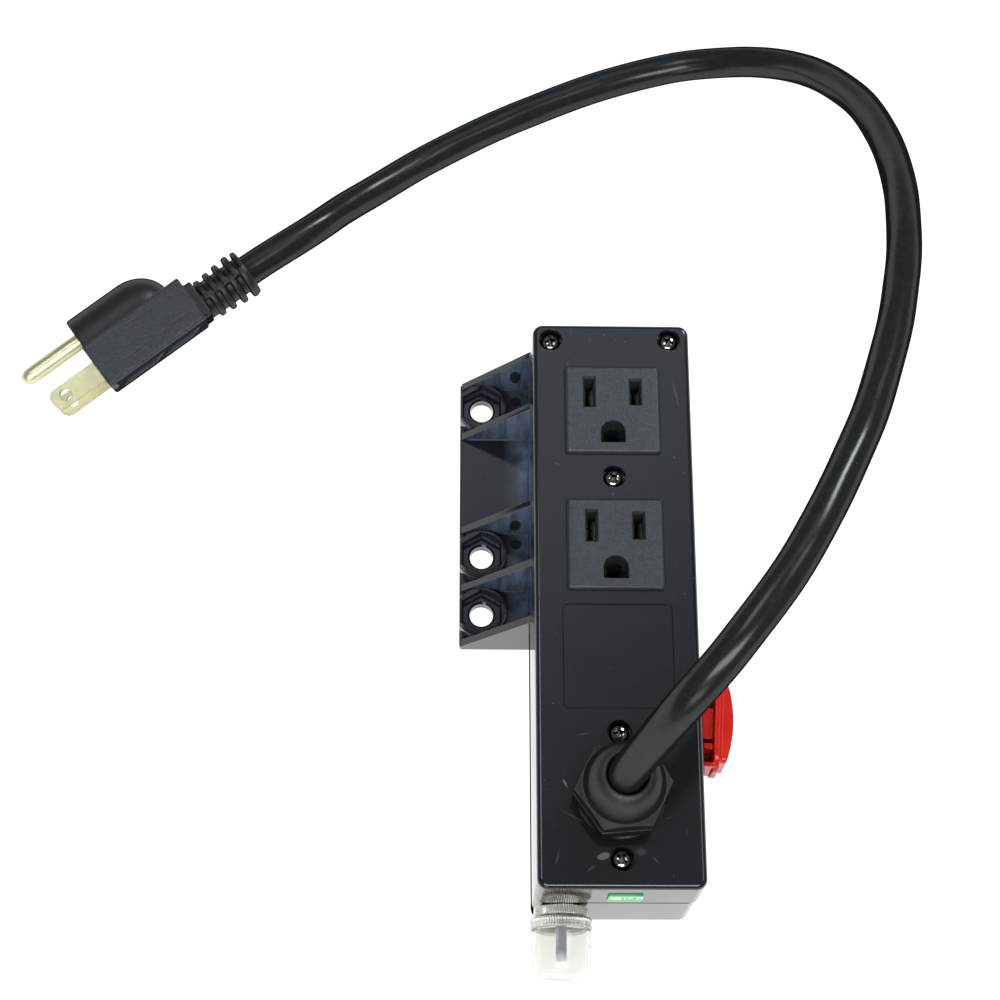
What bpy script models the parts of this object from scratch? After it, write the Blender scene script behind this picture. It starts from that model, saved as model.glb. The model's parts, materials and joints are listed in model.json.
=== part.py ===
"""Machine-mounted power strip: two-gang 15 A outlet box with a side bracket,
paddle rocker switch, resettable breaker under a clear boot, and a short mains
lead in a cable gland.

Frame: origin at the centre of the housing's back face, +Z out of the front
(outlet) face, +Y along the housing towards the outlets. Lengths below are in
millimetres and are scaled to metres as each shape is made.
"""
import math

import bmesh
import bpy
from mathutils import Euler, Matrix, Vector

MM = 0.001
GAP = 0.3                      # clearance between neighbouring pieces

# ---- housing -------------------------------------------------------------
BACK_X, BACK_Y = 21.6, 78.7    # half width and half length of the back shell
COVER_X, COVER_Y = 21.9, 79.1  # half sizes of the front cover at its rim
COVER_DRAFT = 0.2              # how much smaller the cover is at the front
SEAM_Z = 27.5                  # where the two shells meet
FRONT_Z = 46.0                 # front face
CORNER_R = 3.0
BACK_WALL = 2.3
COVER_WALL = 2.0
COVER_FRONT = 2.6
SCREWS = [(-16.8, 74.0), (16.1, 74.2), (0.0, 33.3), (0.0, -38.1), (0.0, -71.2)]
POST_R = 2.6
# ---- side bracket ----------------------------------------------------------
PLATE_X, PLATE_Y0, PLATE_Y1, PLATE_T = -41.5, -2.0, 79.4, 3.0
BOSS_X, BOSS_R, BOSS_H = -35.2, 7.5, 7.0
BOSS_Y = [70.4, 24.6, 7.2]
BOLT_R = 3.35                  # M6 clearance
HEX_AF, HEX_FLOOR = 10.3, 4.0
GUSSETS = [77.4, 61.4, 32.0, 14.4, -2.0]
GUSSET_T = 2.0
# ---- outlets (NEMA 5-15R) ---------------------------------------------------
OUTLET_Y = {"upper": 52.75, "lower": 13.6}
FLANGE_X, FLANGE_Y, FLANGE_TOP = 13.15, 12.95, 47.5
SLOT_PITCH, GROUND_DROP, SLOT_UP = 12.7, 11.9, 5.0
SLOT_W, NEUTRAL_L, LINE_L, GROUND_R = 2.5, 8.3, 7.0, 3.0
# ---- cable gland ------------------------------------------------------------
GLAND = (0.0, -54.6)
GLAND_AF, GLAND_TURN = 22.0, 5.0
CORD_D = 9.5
# ---- breaker ----------------------------------------------------------------
BRK_X, BRK_Z = -14.4, 20.0
BUTTON_TRAVEL = 2.5
# ---- switch -----------------------------------------------------------------
SW_Y, SW_Z, SW_PIVOT_X = -31.0, 24.0, 18.5
SW_REST = -3.5                 # rocker angle at rest, degrees
# ---- plug (NEMA 5-15P), lying on its side ----------------------------------
PLUG_AT = (-145.0, 77.3, 13.75)
PLUG_TURN = (-12.9, 8.0, 216.25)
# ---- lead: from inside the gland to inside the plug's strain relief --------
LEAD = [
    (0.0, -54.6, 34.0), (0.0, -54.6, 48.0), (0.0, -54.6, 60.0), (0.0, -54.5, 69.0),
    (11.6, -45.0, 98.9), (22.4, -33.9, 108.7), (37.8, -13.4, 112.5), (53.9, 16.9, 106.8),
    (60.7, 32.6, 101.6), (70.6, 63.1, 91.5), (76.6, 93.5, 79.3), (78.5, 125.4, 61.9),
    (73.7, 153.3, 44.5), (61.7, 174.1, 27.5), (47.4, 183.6, 16.2), (30.5, 186.8, 9.0),
    (17.2, 185.6, 6.1), (2.9, 181.6, 5.1), (-15.9, 173.7, 5.1), (-35.2, 164.1, 5.1),
    (-51.2, 154.5, 5.5), (-68.0, 141.2, 8.7), (-76.7, 132.7, 12.8), (-84.9, 123.9, 17.0),
]
WIRE_R = 1.3


# ============================ helpers =======================================
for obj in list(bpy.data.objects):
    bpy.data.objects.remove(obj, do_unlink=True)

scene = bpy.context.scene
STRIP = bpy.data.collections.new("power_strip")
CUTTERS = bpy.data.collections.new("cutters")
scene.collection.children.link(STRIP)
scene.collection.children.link(CUTTERS)
CUTTERS.hide_render = True

MATERIALS = {}


def material(name, colour, rough, metal=0.0, alpha=1.0):
    mat = bpy.data.materials.new(name)
    mat.use_nodes = True
    bsdf = mat.node_tree.nodes["Principled BSDF"]
    bsdf.inputs["Base Color"].default_value = (*colour, 1.0)
    bsdf.inputs["Roughness"].default_value = rough
    bsdf.inputs["Metallic"].default_value = metal
    bsdf.inputs["Transmission Weight"].default_value = 1.0 - alpha
    MATERIALS[name] = mat


material("housing_black", (0.012, 0.013, 0.016), 0.18)
material("outlet_black", (0.018, 0.019, 0.022), 0.45)
material("nylon_black", (0.022, 0.024, 0.026), 0.42)
material("cord_black", (0.012, 0.013, 0.014), 0.33)
material("plug_black", (0.030, 0.031, 0.034), 0.60)
material("screw_black", (0.03, 0.03, 0.03), 0.20, 0.9)
material("nickel", (0.72, 0.69, 0.62), 0.25, 1.0)
material("brass", (0.78, 0.60, 0.30), 0.30, 1.0)
material("clear_silicone", (0.86, 0.87, 0.85), 0.25, 0.0, 0.3)
material("button_white", (0.75, 0.76, 0.78), 0.40)
material("switch_red", (0.75, 0.03, 0.02), 0.25)
material("seal_rubber", (0.02, 0.02, 0.02), 0.75)
material("wire_black", (0.02, 0.02, 0.02), 0.45)
material("wire_white", (0.80, 0.80, 0.78), 0.45)
material("wire_green", (0.03, 0.30, 0.08), 0.45)
material("sticker_green", (0.05, 0.50, 0.14), 0.45)


def add(name, mesh, mat=None, where=None):
    obj = bpy.data.objects.new(name, mesh)
    (where or STRIP).objects.link(obj)
    if mat:
        mesh.materials.append(MATERIALS[mat])
    if where is CUTTERS:
        obj.hide_render = True
        obj.display_type = "WIRE"
    return obj


def mesh_of(bm, name):
    mesh = bpy.data.meshes.new(name)
    bmesh.ops.recalc_face_normals(bm, faces=bm.faces)
    bm.to_mesh(mesh)
    bm.free()
    return mesh


def block(name, lo, hi, mat=None, where=None, corner=0.0, corner_seg=3, edge=0.0, axis=2):
    """A box from lo to hi, its edges along `axis` rounded by `corner`, and all
    the others by `edge`."""
    bm = bmesh.new()
    bmesh.ops.create_cube(bm, size=1.0)
    size = [(b - a) * MM for a, b in zip(lo, hi)]
    mid = [(a + b) / 2 * MM for a, b in zip(lo, hi)]
    bmesh.ops.scale(bm, vec=size, verts=bm.verts)
    bmesh.ops.translate(bm, vec=mid, verts=bm.verts)
    if corner:
        along = [e for e in bm.edges
                 if abs(abs((e.verts[0].co - e.verts[1].co).normalized()[axis]) - 1) < 1e-3]
        bmesh.ops.bevel(bm, geom=along, offset=corner * MM, segments=corner_seg,
                        profile=0.5, affect="EDGES")
    if edge:
        rim = [e for e in bm.edges
               if abs(e.verts[0].co[axis] - e.verts[1].co[axis]) < 1e-7]
        bmesh.ops.bevel(bm, geom=rim, offset=edge * MM, segments=1, profile=0.5,
                        affect="EDGES")
    return add(name, mesh_of(bm, name), mat, where)


def rod(name, radius, base, length, mat=None, where=None, sides=20, axis="Z", turn=0.0):
    """A cylinder or, with 6 sides, a hexagon prism, from `base` along +axis."""
    bm = bmesh.new()
    bmesh.ops.create_cone(bm, cap_ends=True, segments=sides, radius1=radius * MM,
                          radius2=radius * MM, depth=length * MM)
    bmesh.ops.translate(bm, vec=(0, 0, length / 2 * MM), verts=bm.verts)
    bmesh.ops.rotate(bm, cent=(0, 0, 0), verts=bm.verts,
                     matrix=Matrix.Rotation(math.radians(turn), 3, "Z"))
    swing = {"Z": Matrix.Identity(3), "Y": Matrix.Rotation(math.radians(-90), 3, "X"),
             "X": Matrix.Rotation(math.radians(90), 3, "Y")}[axis]
    bmesh.ops.rotate(bm, cent=(0, 0, 0), verts=bm.verts, matrix=swing)
    bmesh.ops.translate(bm, vec=[c * MM for c in base], verts=bm.verts)
    return add(name, mesh_of(bm, name), mat, where)


def turned(name, profile, mat=None, where=None, steps=24, ring=False, place=None):
    """A turned shape from (radius, height) pairs that run down its outer side.
    `ring` closes the profile, for a piece with a bore."""
    mesh = bpy.data.meshes.new(name)
    verts = [(r * MM, 0.0, z * MM) for r, z in profile]
    edges = [(i, i + 1) for i in range(len(verts) - 1)]
    if ring:
        edges.append((len(verts) - 1, 0))
    mesh.from_pydata(verts, edges, [])
    obj = add(name, mesh, None, where)
    screw = obj.modifiers.new("turn", "SCREW")
    screw.axis = "Z"
    screw.angle = math.tau
    screw.steps = steps
    screw.render_steps = steps
    screw.use_merge_vertices = True
    screw.merge_threshold = 0.00001
    screw.use_normal_calculate = False
    obj = solidified(obj, mat)
    if place is not None:
        obj.data.transform(place)
    return obj


def solidified(obj, mat=None):
    """The object with its modifiers and matrix baked into a plain mesh."""
    bpy.context.view_layer.update()
    graph = bpy.context.evaluated_depsgraph_get()
    mesh = bpy.data.meshes.new_from_object(obj.evaluated_get(graph))
    mesh.transform(obj.matrix_world)
    name, homes = obj.name, list(obj.users_collection)
    wire = obj.hide_render
    bpy.data.objects.remove(obj, do_unlink=True)
    bm = bmesh.new()
    bm.from_mesh(mesh)
    bmesh.ops.remove_doubles(bm, verts=bm.verts, dist=0.000004)
    bmesh.ops.recalc_face_normals(bm, faces=bm.faces)
    bm.to_mesh(mesh)
    bm.free()
    mesh.name = name
    if mat:
        mesh.materials.clear()
        mesh.materials.append(MATERIALS[mat])
    new = bpy.data.objects.new(name, mesh)
    for home in homes:
        home.objects.link(new)
    if wire:
        new.hide_render = True
        new.display_type = "WIRE"
    return new


def combine(obj, other, how):
    """Adds an exact Boolean of `other`, and keeps `other` as a cutter."""
    if other.name not in CUTTERS.objects:
        for home in list(other.users_collection):
            home.objects.unlink(other)
        CUTTERS.objects.link(other)
    other.hide_render = True
    other.display_type = "WIRE"
    step = obj.modifiers.new(how.lower() + "_" + other.name[:40], "BOOLEAN")
    step.operation = how
    step.object = other
    step.solver = "EXACT"


def join(obj, *others):
    for other in others:
        combine(obj, other, "UNION")


def cut(obj, *others):
    for other in others:
        combine(obj, other, "DIFFERENCE")


def smooth(obj, degrees=35):
    obj.data.shade_smooth()
    obj.data.set_sharp_from_angle(angle=math.radians(degrees))
    return obj


def hexagon(across_flats):
    return across_flats / math.sqrt(3)


def spline(points, per_step):
    """Points on a smooth centripetal curve through `points`."""
    pts = [Vector(p) for p in points]
    pts = [2 * pts[0] - pts[1]] + pts + [2 * pts[-1] - pts[-2]]
    out = []
    for i in range(1, len(pts) - 2):
        p0, p1, p2, p3 = pts[i - 1:i + 3]
        t0 = 0.0
        t1 = t0 + max((p1 - p0).length ** 0.5, 1e-6)
        t2 = t1 + max((p2 - p1).length ** 0.5, 1e-6)
        t3 = t2 + max((p3 - p2).length ** 0.5, 1e-6)
        for k in range(per_step):
            t = t1 + (t2 - t1) * k / per_step
            a1 = (t1 - t) / (t1 - t0) * p0 + (t - t0) / (t1 - t0) * p1
            a2 = (t2 - t) / (t2 - t1) * p1 + (t - t1) / (t2 - t1) * p2
            a3 = (t3 - t) / (t3 - t2) * p2 + (t - t2) / (t3 - t2) * p3
            b1 = (t2 - t) / (t2 - t0) * a1 + (t - t0) / (t2 - t0) * a2
            b2 = (t3 - t) / (t3 - t1) * a2 + (t - t1) / (t3 - t1) * a3
            out.append((t2 - t) / (t2 - t1) * b1 + (t - t1) / (t2 - t1) * b2)
    return out + [pts[-2]]


def tube(name, points, radius, mat, resolution=2):
    curve = bpy.data.curves.new(name, "CURVE")
    curve.dimensions = "3D"
    curve.bevel_depth = radius * MM
    curve.bevel_resolution = resolution
    curve.use_fill_caps = True
    line = curve.splines.new("POLY")
    line.points.add(len(points) - 1)
    for slot, p in zip(line.points, points):
        slot.co = (p[0] * MM, p[1] * MM, p[2] * MM, 1.0)
    curve.materials.append(MATERIALS[mat])
    obj = bpy.data.objects.new(name, curve)
    STRIP.objects.link(obj)
    return obj


# ============================ back housing ==================================
back = block("back_housing", (-BACK_X, -BACK_Y, 0), (BACK_X, BACK_Y, SEAM_Z - GAP),
             "housing_black", corner=CORNER_R, edge=0.6)
plate = block("bracket_plate", (PLATE_X, PLATE_Y0, 0), (-BACK_X + 1.6, PLATE_Y1, PLATE_T),
              where=CUTTERS)
join(back, plate)
for n, y in enumerate(BOSS_Y):
    boss = rod(f"boss_{n}", BOSS_R, (BOSS_X, y, 0), BOSS_H, where=CUTTERS, sides=28)
    combine(boss, block(f"boss_{n}_limits", (PLATE_X, y - 9, -1), (BOSS_X + 9, y + 9, 9),
                        where=CUTTERS), "INTERSECT")
    join(back, boss)
for n, y in enumerate(GUSSETS):
    rib = bpy.data.meshes.new(f"gusset_{n}")
    rib_bm = bmesh.new()
    outline = [(PLATE_X + 0.4, 1.0), (-BACK_X + 1.4, 1.0), (-BACK_X + 1.4, 26.2),
               (-BACK_X - 0.4, 26.2), (PLATE_X + 0.4, 3.5)]
    loop = [rib_bm.verts.new((x * MM, y * MM, z * MM)) for x, z in outline]
    face = rib_bm.faces.new(loop)
    raised = bmesh.ops.extrude_face_region(rib_bm, geom=[face])
    bmesh.ops.translate(rib_bm, vec=(0, GUSSET_T * MM, 0),
                        verts=[v for v in raised["geom"] if isinstance(v, bmesh.types.BMVert)])
    join(back, add(f"gusset_{n}", mesh_of(rib_bm, f"gusset_{n}"), where=CUTTERS))
cut(back, block("back_cavity", (-BACK_X + BACK_WALL, -BACK_Y + BACK_WALL, 2.4),
                (BACK_X - BACK_WALL, BACK_Y - BACK_WALL, SEAM_Z + 6), where=CUTTERS,
                corner=1.2, corner_seg=2))
# tongue that locates the cover
lip = block("tongue", (-19.5, -76.6, 24.6), (19.5, 76.6, 29.2), where=CUTTERS,
            corner=1.4, corner_seg=2)
lip_hole = block("tongue_hole", (-18.3, -75.4, 24.0), (18.3, 75.4, 30.0), where=CUTTERS,
                 corner=0.8, corner_seg=2)
cut(lip, lip_hole)
join(back, lip)
for n, (x, y) in enumerate(SCREWS):
    join(back, rod(f"post_{n}", POST_R, (x, y, 1.2), 39.4, where=CUTTERS, sides=16))
join(back, block("corner_fill", (-19.45, 73.6, 1.2), (-16.4, 76.55, 29.2), where=CUTTERS))
for n, (x, y) in enumerate(SCREWS):
    cut(back, rod(f"pilot_{n}", 1.75, (x, y, 26.0), 20, where=CUTTERS, sides=12))
for n, y in enumerate(BOSS_Y):
    cut(back, rod(f"hex_pocket_{n}", hexagon(HEX_AF), (BOSS_X, y, HEX_FLOOR), 6,
                  where=CUTTERS, sides=6, turn=0),
        rod(f"bolt_hole_{n}", BOLT_R, (BOSS_X, y, -2), 12, where=CUTTERS, sides=24))
SWITCH_HOLE_LO, SWITCH_HOLE_HI = (14.0, -44.0, 14.0), (26.0, -18.0, 34.0)
cut(back, block("switch_hole_back", SWITCH_HOLE_LO, SWITCH_HOLE_HI, where=CUTTERS))
cut(back, rod("breaker_hole", 5.5, (BRK_X, -84, BRK_Z), 12, where=CUTTERS, sides=24, axis="Y"))
smooth(back)

# ============================ front cover ===================================
cover = block("front_cover", (-COVER_X, -COVER_Y, SEAM_Z), (COVER_X, COVER_Y, FRONT_Z),
              "housing_black", corner=CORNER_R)
for v in cover.data.vertices:                     # draft, then the rounded front rim
    if v.co.z > (FRONT_Z - 1) * MM:
        v.co.x -= math.copysign(COVER_DRAFT * MM, v.co.x)
        v.co.y -= math.copysign(COVER_DRAFT * MM, v.co.y)
shape = bmesh.new()
shape.from_mesh(cover.data)
rim = [e for e in shape.edges if all(v.co.z > (FRONT_Z - 1) * MM for v in e.verts)]
bmesh.ops.bevel(shape, geom=rim, offset=1.4 * MM, segments=2, profile=0.5, affect="EDGES")
shape.to_mesh(cover.data)
shape.free()
cut(cover, block("cover_cavity", (-COVER_X + COVER_WALL, -COVER_Y + COVER_WALL, SEAM_Z - 4),
                 (COVER_X - COVER_WALL, COVER_Y - COVER_WALL, FRONT_Z - COVER_FRONT),
                 where=CUTTERS, corner=1.4, corner_seg=2))
for n, (x, y) in enumerate(SCREWS):
    join(cover, rod(f"cover_boss_{n}", 4.2, (x, y, 41.0), 3.6, where=CUTTERS, sides=20))
for n, (x, y) in enumerate(SCREWS):
    cut(cover, rod(f"counterbore_{n}", 3.1, (x, y, 43.0), 6, where=CUTTERS, sides=20),
        rod(f"screw_hole_{n}", 1.75, (x, y, 38), 8, where=CUTTERS, sides=12))
for which, y in OUTLET_Y.items():
    cut(cover, block(f"window_{which}", (-12.5, y - 12.3, 40), (12.5, y + 12.3, 50),
                     where=CUTTERS))
cut(cover, rod("gland_hole", 9.6, (*GLAND, 38), 12, where=CUTTERS, sides=32))
cut(cover, block("label_recess", (-14.3, -31.6, FRONT_Z - 0.3), (14.7, -3.2, FRONT_Z + 3),
                 where=CUTTERS, corner=1.2, corner_seg=2))
cut(cover, block("switch_hole_cover", SWITCH_HOLE_LO, SWITCH_HOLE_HI, where=CUTTERS))
smooth(cover)

# ============================ cover screws ==================================
for n, (x, y) in enumerate(SCREWS, 1):
    head = [(0, 45.5), (1.3, 45.4), (2.3, 44.9), (2.75, 44.2), (2.75, 43.3), (1.4, 43.3),
            (1.4, 29.2), (0.6, 28.0), (0, 28.0)]
    smooth(turned(f"cover_screw_{n}", head, "screw_black", steps=14,
                  place=Matrix.Translation((x * MM, y * MM, 0))))

# ============================ outlets =======================================
for which, yc in OUTLET_Y.items():
    ys, yg = yc + SLOT_UP, yc + SLOT_UP - GROUND_DROP
    left, right = -SLOT_PITCH / 2, SLOT_PITCH / 2
    body = block(f"outlet_{which}", (-FLANGE_X, yc - FLANGE_Y, FRONT_Z + GAP),
                 (FLANGE_X, yc + FLANGE_Y, FLANGE_TOP), "outlet_black", corner=0.6,
                 corner_seg=1)
    join(body, block(f"outlet_{which}_core", (-12.2, yc - 12.0, 42.6),
                     (12.2, yc + 12.0, FLANGE_TOP - 0.5), where=CUTTERS))
    cut(body,
        block(f"neutral_slot_{which}", (left - SLOT_W / 2, ys - NEUTRAL_L / 2, 40),
              (left + SLOT_W / 2, ys + NEUTRAL_L / 2, 50), where=CUTTERS),
        block(f"line_slot_{which}", (right - SLOT_W / 2, ys - LINE_L / 2, 40),
              (right + SLOT_W / 2, ys + LINE_L / 2, 50), where=CUTTERS),
        rod(f"ground_hole_{which}", GROUND_R, (0, yg, 40), 10, where=CUTTERS, sides=16),
        block(f"ground_flat_{which}", (-GROUND_R, yg - 2.7, 40), (GROUND_R, yg + 0.1, 50),
              where=CUTTERS))
    base = block(f"outlet_{which}_base", (-12.2, yc - 12.0, 24.0), (12.2, yc + 12.0, 42.3),
                 "outlet_black")
    join(base, block(f"outlet_{which}_snap", (-13.1, yc - 4.0, 39.5), (13.1, yc + 4.0, 42.3),
                     where=CUTTERS))
    cut(base,
        block(f"neutral_bay_{which}", (left - 3.0, ys - 5.0, 20), (left + 3.0, ys + 5.0, 44),
              where=CUTTERS),
        block(f"line_bay_{which}", (right - 3.0, ys - 5.0, 20), (right + 3.0, ys + 5.0, 44),
              where=CUTTERS),
        block(f"ground_bay_{which}", (-4.2, yg - 4.4, 20), (4.2, yg + 4.4, 44),
              where=CUTTERS))
    rear = block(f"outlet_{which}_back", (-12.0, yc - 11.8, 22.2), (12.0, yc + 11.8, 23.7),
                 "outlet_black")
    for tag, x, y, half, mid in (("neutral", left, ys, 1.35, 3.6), ("line", right, ys, 1.35, 3.2),
                                 ("ground", 0.0, yg, 2.6, 3.0)):
        cut(rear, block(f"tail_slot_{tag}_{which}", (x - 0.8, y - 2.9, 20),
                        (x + 0.8, y + 2.9, 26), where=CUTTERS))
        spring = block(f"contact_{tag}_{which}", (x - half - 0.5, y - mid, 25.2),
                       (x + half + 0.5, y + mid, 41.4), "brass")
        cut(spring, block(f"contact_{tag}_{which}_gap", (x - half, y - mid - 1, 25.9),
                          (x + half, y + mid + 1, 44), where=CUTTERS))
        join(spring, block(f"contact_{tag}_{which}_tail", (x - 0.4, y - 2.5, 18.0),
                           (x + 0.4, y + 2.5, 25.6), where=CUTTERS))

# ============================ cable gland ===================================
gx, gy = GLAND
gland = rod("gland_body", hexagon(GLAND_AF), (gx, gy, FRONT_Z + GAP), 5.2, "nylon_black",
            sides=6, turn=GLAND_TURN + 90)
join(gland, rod("gland_thread", 9.25, (gx, gy, 37.5), 10.0, where=CUTTERS, sides=28),
     rod("gland_spigot", 8.3, (gx, gy, 50.0), 10.5, where=CUTTERS, sides=28))
cut(gland, rod("gland_bore", 5.3, (gx, gy, 30.0), 40.0, where=CUTTERS, sides=24),
    rod("gland_seat", 7.4, (gx, gy, 52.6), 12.0, where=CUTTERS, sides=24))
smooth(gland)
seal = turned("gland_seal", [(6.9, 62.4), (7.1, 61.6), (7.1, 52.9), (5.15, 52.9), (5.15, 62.4)],
              "seal_rubber", steps=24, ring=True,
              place=Matrix.Translation((gx * MM, gy * MM, 0)))
smooth(seal)
dome_profile = [(5.4, 68.9), (6.6, 69.0), (8.2, 68.4), (9.2, 67.2), (9.7, 65.4), (10.1, 58.2),
                (10.3, 57.4), (10.3, 52.4), (8.7, 52.4), (8.7, 62.9), (5.4, 66.2)]
nut = turned("gland_dome_nut", dome_profile, "nylon_black", steps=32, ring=True,
             place=Matrix.Translation((gx * MM, gy * MM, 0)))
collar = rod("gland_nut_hex", hexagon(GLAND_AF), (gx, gy, 52.4), 5.6, where=CUTTERS, sides=6,
             turn=GLAND_TURN + 90)
cut(collar, rod("gland_nut_core", 9.2, (gx, gy, 50.0), 12.0, where=CUTTERS, sides=32))
join(nut, collar)
smooth(nut)
locknut = rod("gland_locknut", hexagon(GLAND_AF), (gx, gy, 38.4), 4.6, "nylon_black", sides=6,
              turn=90)
cut(locknut, rod("locknut_bore", 9.6, (gx, gy, 36.0), 12.0, where=CUTTERS, sides=28))
smooth(locknut)

# ============================ breaker =======================================
along_minus_y = Matrix.Translation((BRK_X * MM, 0, BRK_Z * MM)) @ Matrix.Rotation(
    math.radians(90), 4, "X")


def on_breaker(name, profile, mat, steps=28, ring=True):
    """A turned piece about the breaker's axis, with height measured outwards."""
    return smooth(turned(name, profile, mat, steps=steps, ring=ring, place=along_minus_y))


breaker = block("breaker_body", (-18.6, -76.0, 8.5), (-8.2, -46.5, 24.4), "nylon_black")
join(breaker, rod("breaker_neck", 5.1, (BRK_X, -84.3, BRK_Z), 10.0, where=CUTTERS, sides=24,
                  axis="Y"))
cut(breaker, rod("breaker_bore", 1.9, (BRK_X, -90, BRK_Z), 20.0, where=CUTTERS, sides=16,
                 axis="Y"))
smooth(breaker)
for tag, z in (("line", 12.3), ("load", 20.6)):
    block(f"breaker_tab_{tag}", (-16.4, -46.2, z - 0.4), (-10.1, -38.6, z + 0.4), "brass")
knurled = rod("breaker_nut", 7.15, (BRK_X, -81.7, BRK_Z), 2.6, "nickel", sides=48, axis="Y")
for k, v in enumerate(knurled.data.vertices):
    angle = math.atan2(v.co.z - BRK_Z * MM, v.co.x - BRK_X * MM)
    if round(math.degrees(angle) / 7.5) % 2:
        v.co.x += 0.35 * MM * -math.cos(angle)
        v.co.z += 0.35 * MM * -math.sin(angle)
cut(knurled, rod("breaker_nut_bore", 5.4, (BRK_X, -84, BRK_Z), 8.0, where=CUTTERS, sides=24,
                 axis="Y"))
on_breaker("boot_ring", [(7.6, 85.0), (8.05, 85.0), (8.25, 84.6), (8.25, 82.4), (7.8, 82.0),
                         (5.4, 82.0), (5.4, 83.5), (7.6, 83.5)], "nickel")
on_breaker("reset_boot", [(0, 98.0), (3.4, 97.8), (5.8, 97.0), (7.3, 95.6), (8.0, 93.6),
                          (8.05, 85.3), (7.3, 85.3), (7.3, 83.8), (6.7, 83.8), (6.7, 93.2),
                          (6.0, 95.0), (4.6, 96.1), (2.8, 96.6), (0, 96.7)],
           "clear_silicone", ring=False)
button = on_breaker("reset_button", [(0, 93.3), (0.9, 93.2), (1.45, 92.7), (1.45, 74.0),
                                     (0, 74.0)], "button_white", steps=16, ring=False)
button.data.transform(Matrix.Translation((-BRK_X * MM, 84.0 * MM, -BRK_Z * MM)))
button.location = (BRK_X * MM, -84.0 * MM, BRK_Z * MM)

# ============================ rocker switch =================================
switch = block("switch_body", (22.2, SW_Y - 16.0, SW_Z - 12.5), (23.0, SW_Y + 16.0, SW_Z + 12.5),
               "nylon_black", corner=1.2, corner_seg=2, axis=0)
join(switch, block("switch_barrel", (4.0, SW_Y - 12.5, SW_Z - 9.6),
                   (22.6, SW_Y + 12.5, SW_Z + 9.6), where=CUTTERS))
cut(switch, block("switch_pocket", (12.0, SW_Y - 10.5, SW_Z - 7.0),
                  (26.0, SW_Y + 10.5, SW_Z + 7.0), where=CUTTERS),
    rod("switch_pivot_hole", 1.5, (SW_PIVOT_X, SW_Y, SW_Z - 8.6), 17.2, where=CUTTERS,
        sides=16))
for tag, y in (("line", SW_Y), ("load", SW_Y + 8.0)):
    block(f"switch_tab_{tag}", (-3.5, y - 0.4, SW_Z - 3.2), (3.7, y + 0.4, SW_Z + 3.1), "brass")

# the paddle is modelled about its pivot, then leaned to its rest angle
pivot = bpy.data.objects.new("switch_pivot", None)
STRIP.objects.link(pivot)
pivot.location = (SW_PIVOT_X * MM, SW_Y * MM, SW_Z * MM)
rocker = block("switch_rocker", (8.1, -12.8, -7.0), (9.9, 12.8, 9.0), "switch_red",
               corner=5.0, corner_seg=5, axis=0)
parts = [block("rocker_end_low", (5.3, -12.1, -3.6), (8.7, -10.9, 7.6), where=CUTTERS),
         block("rocker_end_high", (5.3, 10.9, -3.6), (8.7, 12.1, 7.6), where=CUTTERS),
         block("rocker_rib_low", (5.5, -7.3, -5.6), (8.7, -5.7, 7.6), where=CUTTERS),
         block("rocker_rib_high", (5.5, 5.7, -5.6), (8.7, 7.3, 7.6), where=CUTTERS),
         block("rocker_web", (5.5, -11.4, -0.8), (8.7, 11.4, 0.8), where=CUTTERS),
         block("rocker_hub", (-2.6, -4.2, -6.4), (8.7, 4.2, 6.4), where=CUTTERS),
         rod("rocker_pin", 1.2, (0, 0, -8.2), 16.4, where=CUTTERS, sides=14)]
pad = rod("rocker_pad", 36.0, (-22.7, 0, -6.0), 14.0, where=CUTTERS, sides=128)
keep = block("rocker_pad_limits", (9.0, -10.8, -9.0), (20.0, 10.8, 9.0), where=CUTTERS,
             corner=1.2, corner_seg=2, axis=0)
combine(pad, keep, "INTERSECT")
join(rocker, *parts, pad)
smooth(rocker, 30)
for piece in parts + [pad, keep]:
    piece.parent = pivot
rocker.parent = pivot
pivot.rotation_euler = (0, 0, math.radians(SW_REST))

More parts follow.
